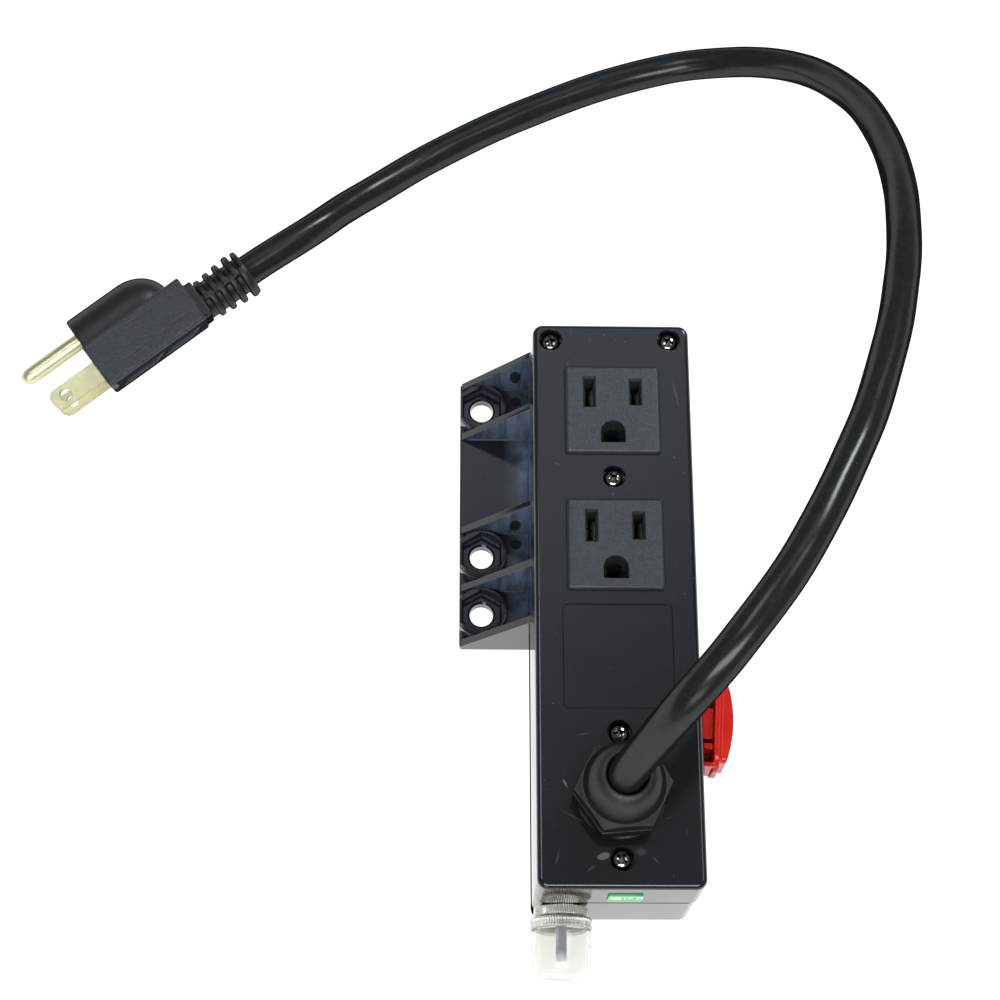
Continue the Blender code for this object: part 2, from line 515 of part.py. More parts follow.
# ============================ internal wiring ===============================
UP, LO = OUTLET_Y["upper"] + SLOT_UP, OUTLET_Y["lower"] + SLOT_UP
GUP, GLO = UP - GROUND_DROP, LO - GROUND_DROP
wires = {
    "wire_line_in": ("wire_black", [(-2.1, -55.8, 33.6), (-2.5, -55.0, 28.0), (-3.8, -50.0, 21.5),
                     (-5.0, -43.0, 15.0), (-6.4, -36.0, 12.4), (-9.4, -31.5, 12.3),
                     (-12.6, -32.3, 12.3), (-13.3, -38.2, 12.3)]),
    "wire_breaker_switch": ("wire_black", [(-13.3, -38.2, 20.6), (-13.0, -33.6, 20.8),
                            (-9.6, -31.0, 22.2), (-3.9, -31.0, 23.9)]),
    "wire_switch_line": ("wire_black", [(-3.9, -23.0, 23.9), (-7.4, -22.6, 22.2), (-8.2, -19.0, 17.0),
                         (-4.0, -11.0, 12.6), (3.0, 0.0, 12.6), (6.35, 9.0, 12.8),
                         (6.35, 15.0, 13.6), (6.35, LO - 1.6, 17.6)]),
    "wire_neutral": ("wire_white", [(2.1, -55.8, 33.6), (2.6, -55.0, 27.0), (4.6, -51.0, 15.0),
                     (5.6, -44.0, 8.6), (5.6, -30.0, 8.4), (4.6, -16.0, 8.4), (-1.0, -6.0, 8.4),
                     (-5.4, -0.5, 8.4), (-6.35, 6.0, 9.0), (-6.35, 14.6, 12.6),
                     (-6.35, LO - 1.6, 17.6)]),
    "wire_ground": ("wire_green", [(0.0, -52.2, 33.6), (-0.1, -51.6, 27.0), (-0.8, -48.4, 17.0),
                    (-3.0, -45.0, 8.4), (-5.2, -41.0, 4.6), (-5.4, -28.0, 4.2), (-4.4, -12.0, 4.2),
                    (-1.2, -2.0, 4.6), (0.0, 2.6, 9.0), (0.0, GLO - 1.6, 17.6)]),
    "jumper_line": ("wire_black", [(6.35, LO + 1.6, 17.6), (6.35, LO + 3.2, 12.0), (6.35, LO + 8, 10.0),
                    (6.35, UP - 8, 10.0), (6.35, UP - 3.2, 12.0), (6.35, UP - 1.6, 17.6)]),
    "jumper_neutral": ("wire_white", [(-6.35, LO + 1.6, 17.6), (-6.35, LO + 3.2, 12.0),
                       (-6.35, LO + 8, 10.0), (-6.35, UP - 8, 10.0), (-6.35, UP - 3.2, 12.0),
                       (-6.35, UP - 1.6, 17.6)]),
    "jumper_ground": ("wire_green", [(0.0, GLO + 1.6, 17.6), (0.5, GLO + 3.0, 10.5), (2.6, 16.0, 5.4),
                      (4.4, 24.0, 4.6), (4.4, 38.0, 4.6), (2.6, 41.0, 6.0), (0.5, GUP - 2.8, 10.5),
                      (0.0, GUP - 1.6, 17.6)]),
}
for name, (mat, route) in wires.items():
    tube(name, spline(route, 3), WIRE_R, mat)

# ============================ plug ==========================================
lie = (Matrix.Translation([c * MM for c in PLUG_AT])
       @ Euler([math.radians(a) for a in PLUG_TURN], "XYZ").to_matrix().to_4x4())
along_x = Matrix.Rotation(math.radians(90), 4, "Y")     # turned height becomes +X

plug = block("plug_body", (-31.0, -8.0, -12.0), (1.0, 6.6, 12.0), "plug_black", corner=1.0,
             corner_seg=1, axis=0)
hump_profile = [(0, 1.0), (9.6, 1.0)] + [
    (9.6 * math.cos(a), -17.5 - 11.3 * math.sin(a))
    for a in [math.radians(15 * k) for k in range(0, 6)]] + [(0, -28.8)]
hump = turned("plug_hump", hump_profile, None, CUTTERS, steps=24, place=along_x)
hump.data.transform(Matrix.Translation((0, -9.0 * MM, 0)))
rear_block = block("plug_rear", (-35.2, -5.6, -9.0), (-30.0, 6.0, 9.0), where=CUTTERS,
                   corner=1.0, corner_seg=1, axis=0)
relief = [(0, -34.0), (5.9, -34.0)]
for k in range(5):
    x = -35.6 - 3.2 * k
    rim = 6.4 + 0.28 * k
    relief += [(5.9, x), (rim, x - 0.1), (rim, x - 1.9), (5.9, x - 2.0)]
relief += [(5.9, -50.9), (0, -50.9)]
sleeve = turned("plug_relief", relief, None, CUTTERS, steps=20, place=along_x)
bore = turned("plug_bore", [(0, -38.5), (5.1, -38.5), (5.1, -54), (0, -54)], None, CUTTERS,
              steps=20, place=along_x)
pockets = [block("blade_pocket_a", (-3.3, -3.475, 5.3), (3, 3.475, 7.4), where=CUTTERS),
           block("blade_pocket_b", (-3.3, -3.475, -7.4), (3, 3.475, -5.3), where=CUTTERS),
           rod("pin_pocket", 2.7, (-5.3, -GROUND_DROP, 0), 9, where=CUTTERS, sides=20,
               axis="X")]
join(plug, hump, rear_block, sleeve)
cut(plug, bore, *pockets)
smooth(plug)
blades = []
for tag, w in (("line", 6.35), ("neutral", -6.35)):
    blade = block(f"plug_blade_{tag}", (-3.0, -3.175, w - 0.75), (17.2, 3.175, w + 0.75),
                  "brass", corner=1.6, corner_seg=2, axis=2)
    eye = rod(f"blade_hole_{tag}", 1.7, (12.6, 0, w - 3), 6, where=CUTTERS, sides=14)
    cut(blade, eye)
    blades += [blade, eye]
pin = turned("plug_ground_pin", [(0, 20.4), (1.1, 20.2), (2.0, 19.3), (2.4, 18.0), (2.4, -5.0),
                                 (0, -5.0)], "brass", steps=16, place=along_x)
pin.data.transform(Matrix.Translation((0, -GROUND_DROP * MM, 0)))
smooth(pin)
for piece in [plug, hump, rear_block, sleeve, bore, *pockets, *blades, pin]:
    piece.matrix_world = lie

# ============================ lead and sticker ==============================
bpy.context.view_layer.update()
tail = [tuple(lie @ Vector((x * MM, 0, 0)) / MM) for x in (-51.0, -45.0, -39.0)]
tube("cord", spline(LEAD + tail, 3), CORD_D / 2, "cord_black", resolution=3)
sticker = block("inspection_sticker", (-3.1, -79.7, 31.0), (5.9, -79.45, 38.8), "sticker_green",
                corner=0.6, corner_seg=1, axis=1)
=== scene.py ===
"""Looks of the power strip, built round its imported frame. Shapes are in the frame
of the part: origin at the centre of the housing's back face, +Z out of the
outlet face, +Y towards the outlets. Lengths in the tables are millimetres."""
import json
import math

import bmesh
import bpy
from mathutils import Euler, Matrix, Vector, noise

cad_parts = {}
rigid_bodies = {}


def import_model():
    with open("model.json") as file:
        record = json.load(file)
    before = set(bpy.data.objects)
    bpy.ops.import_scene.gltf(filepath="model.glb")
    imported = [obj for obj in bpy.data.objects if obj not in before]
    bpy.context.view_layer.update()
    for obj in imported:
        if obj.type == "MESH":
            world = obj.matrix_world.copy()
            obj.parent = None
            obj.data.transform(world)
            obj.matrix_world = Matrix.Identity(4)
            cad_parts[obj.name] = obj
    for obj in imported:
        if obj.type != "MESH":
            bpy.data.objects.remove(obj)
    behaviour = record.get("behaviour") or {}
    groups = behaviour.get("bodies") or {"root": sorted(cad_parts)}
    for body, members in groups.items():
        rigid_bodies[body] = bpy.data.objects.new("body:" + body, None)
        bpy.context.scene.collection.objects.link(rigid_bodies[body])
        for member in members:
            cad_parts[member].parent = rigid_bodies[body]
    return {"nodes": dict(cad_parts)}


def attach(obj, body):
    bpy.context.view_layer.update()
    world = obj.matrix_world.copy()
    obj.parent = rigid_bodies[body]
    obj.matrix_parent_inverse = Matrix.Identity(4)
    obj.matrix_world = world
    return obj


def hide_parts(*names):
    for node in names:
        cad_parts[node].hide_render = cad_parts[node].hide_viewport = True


for obj in list(bpy.data.objects):
    bpy.data.objects.remove(obj, do_unlink=True)

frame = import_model()
bpy.context.view_layer.update()
NODES = frame["nodes"]
MM = 0.001

# ---- sizes shared with the frame ------------------------------------------------
BACK_X, BACK_Y = 21.6, 78.7
COVER_X, COVER_Y = 21.9, 79.1
SEAM_Z, FRONT_Z = 27.5, 46.0
SCREWS = [(-16.8, 74.0), (16.1, 74.2), (0.0, 33.3), (0.0, -38.1), (0.0, -71.2)]
PLATE_X, PLATE_Y0, PLATE_Y1, PLATE_T = -41.5, -2.0, 79.4, 3.0
BOSS_X, BOSS_R, BOSS_H = -35.2, 7.5, 7.0
BOSS_Y = [70.4, 24.6, 7.2]
GUSSETS = [77.4, 61.4, 32.0, 14.4, -2.0]
OUTLET_Y = {"upper": 52.75, "lower": 13.6}
GLAND = (0.0, -54.6)
CORD_D = 9.5
BRK_X, BRK_Z = -14.4, 20.0
SW = (18.5, -31.0, 24.0)
SW_REST = -3.5
PLUG_AT = (-145.0, 77.3, 13.75)
PLUG_TURN = (-12.9, 8.0, 216.25)
LEAD = [
    (0.0, -54.6, 45.0), (0.0, -54.6, 52.0), (0.0, -54.6, 60.0), (0.0, -54.5, 69.0),
    (11.6, -45.0, 98.9), (22.4, -33.9, 108.7), (37.8, -13.4, 112.5), (53.9, 16.9, 106.8),
    (60.7, 32.6, 101.6), (70.6, 63.1, 91.5), (76.6, 93.5, 79.3), (78.5, 125.4, 61.9),
    (73.7, 153.3, 44.5), (61.7, 174.1, 27.5), (47.4, 183.6, 16.2), (30.5, 186.8, 9.0),
    (17.2, 185.6, 6.1), (2.9, 181.6, 5.1), (-15.9, 173.7, 5.1), (-35.2, 164.1, 5.1),
    (-51.2, 154.5, 5.5), (-68.0, 141.2, 8.7), (-76.7, 132.7, 12.8), (-84.9, 123.9, 17.0),
]
LIE = (Matrix.Translation([c * MM for c in PLUG_AT])
       @ Euler([math.radians(a) for a in PLUG_TURN], "XYZ").to_matrix().to_4x4())


# ============================ shape helpers =======================================
SCENE = bpy.context.scene.collection


def place(name, bm):
    mesh = bpy.data.meshes.new(name)
    bmesh.ops.recalc_face_normals(bm, faces=bm.faces)
    bm.to_mesh(mesh)
    bm.free()
    obj = bpy.data.objects.new(name, mesh)
    SCENE.objects.link(obj)
    return obj


def turn_to(axis, u, v, h):
    """(u, v) across the axis and h along it, as x, y, z."""
    return {"Z": (u, v, h), "X": (h, u, v), "Y": (v, h, u)}[axis]


def skin(name, loops, axis="Z"):
    """The solid through loops of equal count; each loop is (list of (u, v), h)."""
    bm = bmesh.new()
    rings = []
    for loop, h in loops:
        rings.append([bm.verts.new([c * MM for c in turn_to(axis, u, v, h)]) for u, v in loop])
    count = len(rings[0])
    for a, b in zip(rings, rings[1:]):
        for i in range(count):
            j = (i + 1) % count
            bm.faces.new((a[i], a[j], b[j], b[i]))
    bm.faces.new(rings[0][::-1])
    bm.faces.new(rings[-1])
    return place(name, bm)


def round_rect(cu, cv, hu, hv, r, seg):
    pts = []
    for su, sv, a0 in ((1, 1, 0), (-1, 1, 90), (-1, -1, 180), (1, -1, 270)):
        for k in range(seg + 1):
            a = math.radians(a0 + 90 * k / seg)
            pts.append((cu + su * (hu - r) + r * math.cos(a), cv + sv * (hv - r) + r * math.sin(a)))
    return pts


def edge_steps(h0, h1, low, high, seg, lean=0.0):
    """(inset, height) pairs of a wall with a rounded foot and rim."""
    steps = []
    if low:
        steps += [(low * (1 - math.sin(math.radians(90 * k / seg))),
                   h0 + low * (1 - math.cos(math.radians(90 * k / seg)))) for k in range(seg + 1)]
    else:
        steps.append((0.0, h0))
    if high:
        steps += [(lean + high * (1 - math.cos(math.radians(90 * k / seg))),
                   h1 - high * (1 - math.sin(math.radians(90 * k / seg)))) for k in range(seg + 1)]
    else:
        steps.append((lean, h1))
    return steps


def rbox(name, lo, hi, corner=0.5, seg=3, low=0.0, high=0.0, rseg=3, axis="Z", lean=0.0):
    """A block with rounded upright edges, foot and rim, upright along `axis`."""
    order = {"Z": (0, 1, 2), "X": (1, 2, 0), "Y": (2, 0, 1)}[axis]
    (u0, u1), (v0, v1), (h0, h1) = [(lo[i], hi[i]) for i in order]
    cu, cv, hu, hv = (u0 + u1) / 2, (v0 + v1) / 2, (u1 - u0) / 2, (v1 - v0) / 2
    return skin(name, [(round_rect(cu, cv, hu - d, hv - d, max(corner - d, 0.02), seg), h)
                       for d, h in edge_steps(h0, h1, low, high, rseg, lean)], axis)


def ngon(cu, cv, r, sides, turn=0.0):
    return [(cu + r * math.cos(math.radians(turn + 360 * k / sides)),
             cv + r * math.sin(math.radians(turn + 360 * k / sides))) for k in range(sides)]


def lathe(name, profile, steps=48, ring=False, base=(0, 0, 0), axis="Z"):
    """Turned about `axis` through `base`, from (radius, height) pairs."""
    bm = bmesh.new()
    rings = []
    for r, h in profile:
        if r < 1e-6:
            p = turn_to(axis, 0, 0, h)
            rings.append([bm.verts.new([(c + b) * MM for c, b in zip(p, base)])])
        else:
            ring_verts = []
            for u, v in ngon(0, 0, r, steps):
                p = turn_to(axis, u, v, h)
                ring_verts.append(bm.verts.new([(c + b) * MM for c, b in zip(p, base)]))
            rings.append(ring_verts)
    pairs = list(zip(rings, rings[1:])) + ([(rings[-1], rings[0])] if ring else [])
    for a, b in pairs:
        if len(a) == 1 and len(b) == 1:
            continue
        for i in range(steps):
            j = (i + 1) % steps
            if len(a) == 1:
                bm.faces.new((a[0], b[j], b[i]))
            elif len(b) == 1:
                bm.faces.new((a[i], a[j], b[0]))
            else:
                bm.faces.new((a[i], a[j], b[j], b[i]))
    return place(name, bm)


def bake(obj):
    """The object with its modifiers applied, on a fresh mesh."""
    bpy.context.view_layer.update()
    graph = bpy.context.evaluated_depsgraph_get()
    mesh = bpy.data.meshes.new_from_object(obj.evaluated_get(graph))
    old = obj.data
    obj.modifiers.clear()
    obj.data = mesh
    bpy.data.meshes.remove(old)
    return obj


def combine(obj, others, how):
    """Exact Booleans of `others` with obj, which are then thrown away."""
    for other in others:
        step = obj.modifiers.new(how, "BOOLEAN")
        step.operation = how
        step.object = other
        step.solver = "EXACT"
    bake(obj)
    for other in others:
        bpy.data.objects.remove(other, do_unlink=True)
    return obj


def join(obj, *others):
    return combine(obj, others, "UNION")


def cut(obj, *others):
    return combine(obj, others, "DIFFERENCE")


def keep(obj, *others):
    return combine(obj, others, "INTERSECT")


def tidy(obj, degrees=32, weighted=True):
    bm = bmesh.new()
    bm.from_mesh(obj.data)
    bmesh.ops.remove_doubles(bm, verts=bm.verts, dist=0.000003)
    bmesh.ops.dissolve_degenerate(bm, edges=bm.edges, dist=0.000002)
    bm.to_mesh(obj.data)
    bm.free()
    obj.data.shade_smooth()
    obj.data.set_sharp_from_angle(angle=math.radians(degrees))
    if weighted:
        step = obj.modifiers.new("face_normals", "WEIGHTED_NORMAL")
        step.mode = "FACE_AREA"
        step.weight = 80
        step.keep_sharp = True
        bake(obj)
    return obj


def soften(obj, voxel, rounds=4, factor=0.5):
    """A moulded look: an even fine mesh with every edge and inner corner eased."""
    step = obj.modifiers.new("voxel", "REMESH")
    step.mode = "VOXEL"
    step.voxel_size = voxel * MM
    step.adaptivity = 0.0
    ease = obj.modifiers.new("ease", "SMOOTH")
    ease.factor = factor
    ease.iterations = rounds
    bake(obj)
    obj.data.shade_smooth()
    return obj


def shift(obj, matrix):
    obj.data.transform(matrix)
    return obj


def spline(points, per_step):
    """Points on a smooth centripetal curve through `points`."""
    pts = [Vector(p) for p in points]
    pts = [2 * pts[0] - pts[1]] + pts + [2 * pts[-1] - pts[-2]]
    out = []
    for i in range(1, len(pts) - 2):
        p0, p1, p2, p3 = pts[i - 1:i + 3]
        t0 = 0.0
        t1 = t0 + max((p1 - p0).length ** 0.5, 1e-6)
        t2 = t1 + max((p2 - p1).length ** 0.5, 1e-6)
        t3 = t2 + max((p3 - p2).length ** 0.5, 1e-6)
        for k in range(per_step):
            t = t1 + (t2 - t1) * k / per_step
            a1 = (t1 - t) / (t1 - t0) * p0 + (t - t0) / (t1 - t0) * p1
            a2 = (t2 - t) / (t2 - t1) * p1 + (t - t1) / (t2 - t1) * p2
            a3 = (t3 - t) / (t3 - t2) * p2 + (t - t2) / (t3 - t2) * p3
            b1 = (t2 - t) / (t2 - t0) * a1 + (t - t0) / (t2 - t0) * a2
            b2 = (t3 - t) / (t3 - t1) * a2 + (t - t1) / (t3 - t1) * a3
            out.append((t2 - t) / (t2 - t1) * b1 + (t - t1) / (t2 - t1) * b2)
    return out + [pts[-2]]


# ============================ material helpers ====================================
class Shade:
    """A node material on object coordinates, which are the part's own metres."""

    def __init__(self, name, rough=0.5, metal=0.0, ior=1.5):
        self.mat = bpy.data.materials.new(name)
        self.mat.use_nodes = True
        self.tree = self.mat.node_tree
        self.bsdf = self.tree.nodes["Principled BSDF"]
        self.bsdf.inputs["Roughness"].default_value = rough
        self.bsdf.inputs["Metallic"].default_value = metal
        self.bsdf.inputs["IOR"].default_value = ior
        self.coord = self.tree.nodes.new("ShaderNodeTexCoord").outputs["Object"]

    def set(self, **values):
        for key, value in values.items():
            self.bsdf.inputs[key.replace("_", " ")].default_value = value
        return self

    def node(self, kind, **props):
        made = self.tree.nodes.new(kind)
        for key, value in props.items():
            setattr(made, key, value)
        return made

    def link(self, a, b):
        self.tree.links.new(a, b)

    def stretch(self, scale, turn=(0, 0, 0)):
        made = self.node("ShaderNodeMapping")
        made.inputs["Scale"].default_value = scale
        made.inputs["Rotation"].default_value = [math.radians(a) for a in turn]
        self.link(self.coord, made.inputs["Vector"])
        return made.outputs["Vector"]

    def noise(self, scale, detail=3.0, rough=0.55, vector=None, warp=0.0):
        made = self.node("ShaderNodeTexNoise")
        made.inputs["Scale"].default_value = scale
        made.inputs["Detail"].default_value = detail
        made.inputs["Roughness"].default_value = rough
        made.inputs["Distortion"].default_value = warp
        self.link(vector or self.coord, made.inputs["Vector"])
        return made.outputs["Fac"]

    def cells(self, scale, feature="F1", vector=None, out="Distance", random=1.0):
        made = self.node("ShaderNodeTexVoronoi", feature=feature)
        made.inputs["Scale"].default_value = scale
        made.inputs["Randomness"].default_value = random
        self.link(vector or self.coord, made.inputs["Vector"])
        return made.outputs[out]

    def ramp(self, fac, lo, hi, a=0.0, b=1.0):
        made = self.node("ShaderNodeMapRange")
        made.clamp = True
        for key, value in (("From Min", lo), ("From Max", hi), ("To Min", a), ("To Max", b)):
            made.inputs[key].default_value = value
        self.link(fac, made.inputs["Value"])
        return made.outputs["Result"]

    def calc(self, how, a, b):
        made = self.node("ShaderNodeMath", operation=how)
        for slot, value in zip(made.inputs, (a, b)):
            if isinstance(value, (int, float)):
                slot.default_value = value
            else:
                self.link(value, slot)
        return made.outputs["Value"]

    def blend(self, fac, a, b):
        made = self.node("ShaderNodeMix", data_type="RGBA")
        if isinstance(fac, (int, float)):
            made.inputs[0].default_value = fac
        else:
            self.link(fac, made.inputs[0])
        for slot, value in ((made.inputs[6], a), (made.inputs[7], b)):
            if isinstance(value, tuple):
                slot.default_value = (*value, 1.0)
            else:
                self.link(value, slot)
        return made.outputs[2]

    def colour(self, socket):
        self.link(socket, self.bsdf.inputs["Base Color"])
        return self

    def rough(self, socket):
        self.link(socket, self.bsdf.inputs["Roughness"])
        return self

    def bumps(self, *layers):
        """Each layer is (height socket, strength, distance in metres)."""
        last = None
        for height, strength, distance in layers:
            made = self.node("ShaderNodeBump")
            made.inputs["Strength"].default_value = strength
            made.inputs["Distance"].default_value = distance
            self.link(height, made.inputs["Height"])
            if last:
                self.link(last, made.inputs["Normal"])
            last = made.outputs["Normal"]
        self.link(last, self.bsdf.inputs["Normal"])
        return self


def gloss_black(name, tint=(0.0075, 0.0085, 0.0105), rough=0.09, marks=1.0, rubs=(), pin_marks_and_reflections=(), joint_shade=0.0006):
    """Polished black ABS: slight waviness, hairlines and a little dust. Each rub is a scuffed
    patch: (x, y, half length, half width, turn, amount)."""
    s = Shade(name, rough, ior=1.5)
    broad = s.noise(38, 3, 0.6)
    hair_a = s.noise(90, 2, 0.5, s.stretch((1.0, 17.0, 17.0), (8, 0, 37)))
    hair_b = s.noise(110, 2, 0.5, s.stretch((15.0, 1.0, 15.0), (0, 6, -52)))
    hairs = s.calc("MULTIPLY", s.calc("MAXIMUM", s.ramp(hair_a, 0.74, 0.79), s.ramp(hair_b, 0.74, 0.79)),
                   s.ramp(s.noise(21, 2, 0.5), 0.52, 0.60))
    specks = s.ramp(s.cells(430), 0.05, 0.09, 1.0, 0.0)
    thin = s.calc("MULTIPLY", specks, s.ramp(s.noise(60, 2, 0.5), 0.56, 0.62))
    dust = s.ramp(s.noise(900, 3, 0.7), 0.60, 0.80)
    worn = s.calc("ADD", s.calc("MULTIPLY", hairs, 0.35 * marks), s.calc("MULTIPLY", thin, 0.9 * marks))
    ragged = s.noise(700, 3, 0.7)
    for x, y, long, wide, turn, amount in rubs:
        at = s.node("ShaderNodeMapping", vector_type="TEXTURE")
        at.inputs["Location"].default_value = (x * MM, y * MM, 0.046)
        at.inputs["Rotation"].default_value = (0, 0, math.radians(turn))
        at.inputs["Scale"].default_value = (long * MM, wide * MM, 0.002)
        s.link(s.coord, at.inputs["Vector"])
        away = s.node("ShaderNodeVectorMath", operation="LENGTH")
        s.link(at.outputs["Vector"], away.inputs[0])
        patch = s.ramp(s.calc("SUBTRACT", s.calc("MULTIPLY", ragged, 0.9), away.outputs["Value"]),
                       -0.55, 0.10, 0.0, amount)
        worn = s.calc("ADD", worn, patch)
    ground = s.blend(dust, tint, tuple(2.0 * c for c in tint))
    if pin_marks_and_reflections:
        # painted reflection on the inner walls and floor of the bracket: a pale bluish sheen with streaks, a
        # brighter band near the box wall, a painted highlight line at the foot of each gusset, and darker discs for
        # the pin marks
        where = s.node("ShaderNodeSeparateXYZ")
        s.link(s.coord, where.inputs[0])
        facing = s.node("ShaderNodeSeparateXYZ")
        s.link(s.node("ShaderNodeNewGeometry").outputs["Normal"], facing.inputs[0])
        upright = s.ramp(s.calc("ABSOLUTE", facing.outputs["Z"], 0.0), 0.25, 0.6, 1.0, 0.0)
        within = s.calc("MULTIPLY", s.ramp(where.outputs["Y"], -0.0019, -0.0017, 0.0, 1.0),
                        s.calc("MULTIPLY", s.ramp(where.outputs["Y"], 0.0790, 0.0792, 1.0, 0.0),
                               s.ramp(where.outputs["Z"], 0.0024, 0.0026, 0.0, 1.0)))
        inner = s.calc("MULTIPLY", s.ramp(where.outputs["X"], -0.0395, -0.0235, 0.25, 1.0),
                       s.calc("MULTIPLY", s.ramp(where.outputs["X"], -0.0212, -0.0210, 1.0, 0.0), within))
        streaks = s.ramp(s.noise(420, 3, 0.6, s.stretch((1.0, 1.0, 0.10))), 0.30, 0.72, 0.30, 1.5)
        wall_reflection = s.calc("MULTIPLY", s.calc("MULTIPLY", upright, inner), streaks)
        # painted reflection: a brighter band on the bracket floor next to the box wall
        near_wall = s.calc("MULTIPLY", s.calc("MULTIPLY", s.ramp(where.outputs["X"], -0.0290, -0.0225, 0.0, 1.1),
                                                 s.calc("MULTIPLY", inner, s.ramp(facing.outputs["Z"], 0.93, 0.97))),
                           s.ramp(s.noise(140, 3, 0.6), 0.35, 0.65, 0.3, 1.0))
        wall_reflection = s.calc("MAXIMUM", wall_reflection, near_wall)
        # painted highlight: a thin pale line along the foot of each gusset
        foot_highlight = s.calc("MULTIPLY", s.calc("MULTIPLY", upright, s.ramp(where.outputs["Z"], 0.0040, 0.0043, 1.0, 0.0)),
                      s.calc("MULTIPLY", s.ramp(where.outputs["X"], -0.0400, -0.0380, 0.0, 1.0),
                             s.calc("MULTIPLY", s.ramp(where.outputs["X"], -0.0212, -0.0210, 1.0, 0.0), within)))
        wall_reflection = s.calc("MAXIMUM", wall_reflection, foot_highlight)
        # darker discs: the plate's real pin marks, and on the gussets their painted mirror images
        for x, y, z, radius, squash in pin_marks_and_reflections:
            apart = s.node("ShaderNodeVectorMath", operation="SUBTRACT")
            s.link(s.coord, apart.inputs[0])
            apart.inputs[1].default_value = (x * MM, y * MM, z * MM)
            flat = s.node("ShaderNodeVectorMath", operation="MULTIPLY")
            s.link(apart.outputs["Vector"], flat.inputs[0])
            flat.inputs[1].default_value = (1.0, 1.0, squash)
            off = s.node("ShaderNodeVectorMath", operation="LENGTH")
            s.link(flat.outputs["Vector"], off.inputs[0])
            wall_reflection = s.calc("MULTIPLY", wall_reflection, s.ramp(off.outputs["Value"], radius * 0.92 * MM,
                                                     radius * 1.04 * MM, 0.12, 1.0))
        # the painted reflection's colour: pale bluish grey
        ground = s.blend(s.calc("MINIMUM", wall_reflection, 1.0), ground, (0.124, 0.160, 0.228))
    # painted shade in and just below the joint where the two shells meet, and along the foot of the left side a band
    # with its reflection turned down, as painted shade standing in for the shaded bench it would mirror
    spot = s.node("ShaderNodeSeparateXYZ")
    s.link(s.coord, spot.inputs[0])
    turned = s.node("ShaderNodeSeparateXYZ")
    s.link(s.node("ShaderNodeNewGeometry").outputs["Normal"], turned.inputs[0])
    from_joint = s.calc("ABSOLUTE", s.calc("SUBTRACT", spot.outputs["Z"], SEAM_Z * MM), 0.0)
    unshaded = s.calc("MAXIMUM", s.ramp(from_joint, joint_shade, joint_shade + 0.0004, 0.0, 1.0),
                   s.ramp(s.calc("ABSOLUTE", turned.outputs["Z"], 0.0), 0.30, 0.50, 0.0, 1.0))
    if pin_marks_and_reflections:
        unshaded = s.calc("MAXIMUM", unshaded, s.ramp(spot.outputs["X"], -0.0217, -0.0216, 1.0, 0.0))
    # painted shade: left-facing side walls lose most of their reflection below about 10-12 mm, standing in for the
    # shaded bench they would mirror
    side_on = s.calc("MULTIPLY", s.ramp(turned.outputs["X"], -0.8, -0.5, 1.0, 0.0),
                     s.ramp(s.calc("ABSOLUTE", spot.outputs["X"], 0.0), 0.0221, 0.0223, 1.0, 0.0))
    foot_shade = s.calc("MULTIPLY", side_on, s.ramp(spot.outputs["Z"], 0.0095, 0.0125, 1.0, 0.0))
    gloss_after_shade = s.calc("MULTIPLY", unshaded, s.calc("SUBTRACT", 1.0, foot_shade))
    s.link(s.calc("MULTIPLY", gloss_after_shade, 0.5), s.bsdf.inputs["Specular IOR Level"])
    # painted shade: near-black colour in the joint between the shells and under the cover's lip
    ground = s.blend(unshaded, (0.002, 0.002, 0.0025), ground)
    s.colour(s.blend(s.calc("MINIMUM", worn, 1.0), ground, (0.10, 0.105, 0.11)))
    s.rough(s.calc("ADD", s.ramp(broad, 0.35, 0.7, rough, rough + 0.07),
                   s.calc("MULTIPLY", hairs, 0.22 * marks)))
    s.bumps((s.noise(60, 2, 0.5), 0.10, 0.0006), (s.noise(1500, 2, 0.5), 0.05, 0.00008),
            (hairs, 0.12 * marks, 0.00004))
    return s.mat


def satin_black(name, tint, rough, grain, depth=0.00006, strength=0.5, light=1.9, ior=1.5, speck=0, rim=None):
    """Black moulding with a fine spark grain of `grain` cells a metre."""
    s = Shade(name, rough, ior=ior)
    fine = s.noise(grain, 3, 0.65)
    broad = s.noise(55, 4, 0.6)
    shift = s.ramp(broad, 0.3, 0.75)
    if speck:
        shift = s.calc("ADD", s.calc("MULTIPLY", shift, 0.35),
                       s.ramp(s.noise(speck, 4, 0.8), 0.36, 0.64, 0.0, 0.65))
    s.colour(s.blend(shift, tint, tuple(light * c for c in tint)))
    s.rough(s.calc("ADD", s.ramp(broad, 0.3, 0.7, rough - 0.05, rough + 0.06),
                   s.ramp(fine, 0.3, 0.7, -0.05, 0.06)))
    s.bumps((fine, strength, depth), (broad, 0.08, 0.0004))
    if rim:
        facing = s.node("ShaderNodeLayerWeight")
        facing.inputs["Blend"].default_value = 0.5
        s.link(s.ramp(facing.outputs["Facing"], rim[0], rim[1], 0.5, 0.0), s.bsdf.inputs["Specular IOR Level"])
    return s.mat


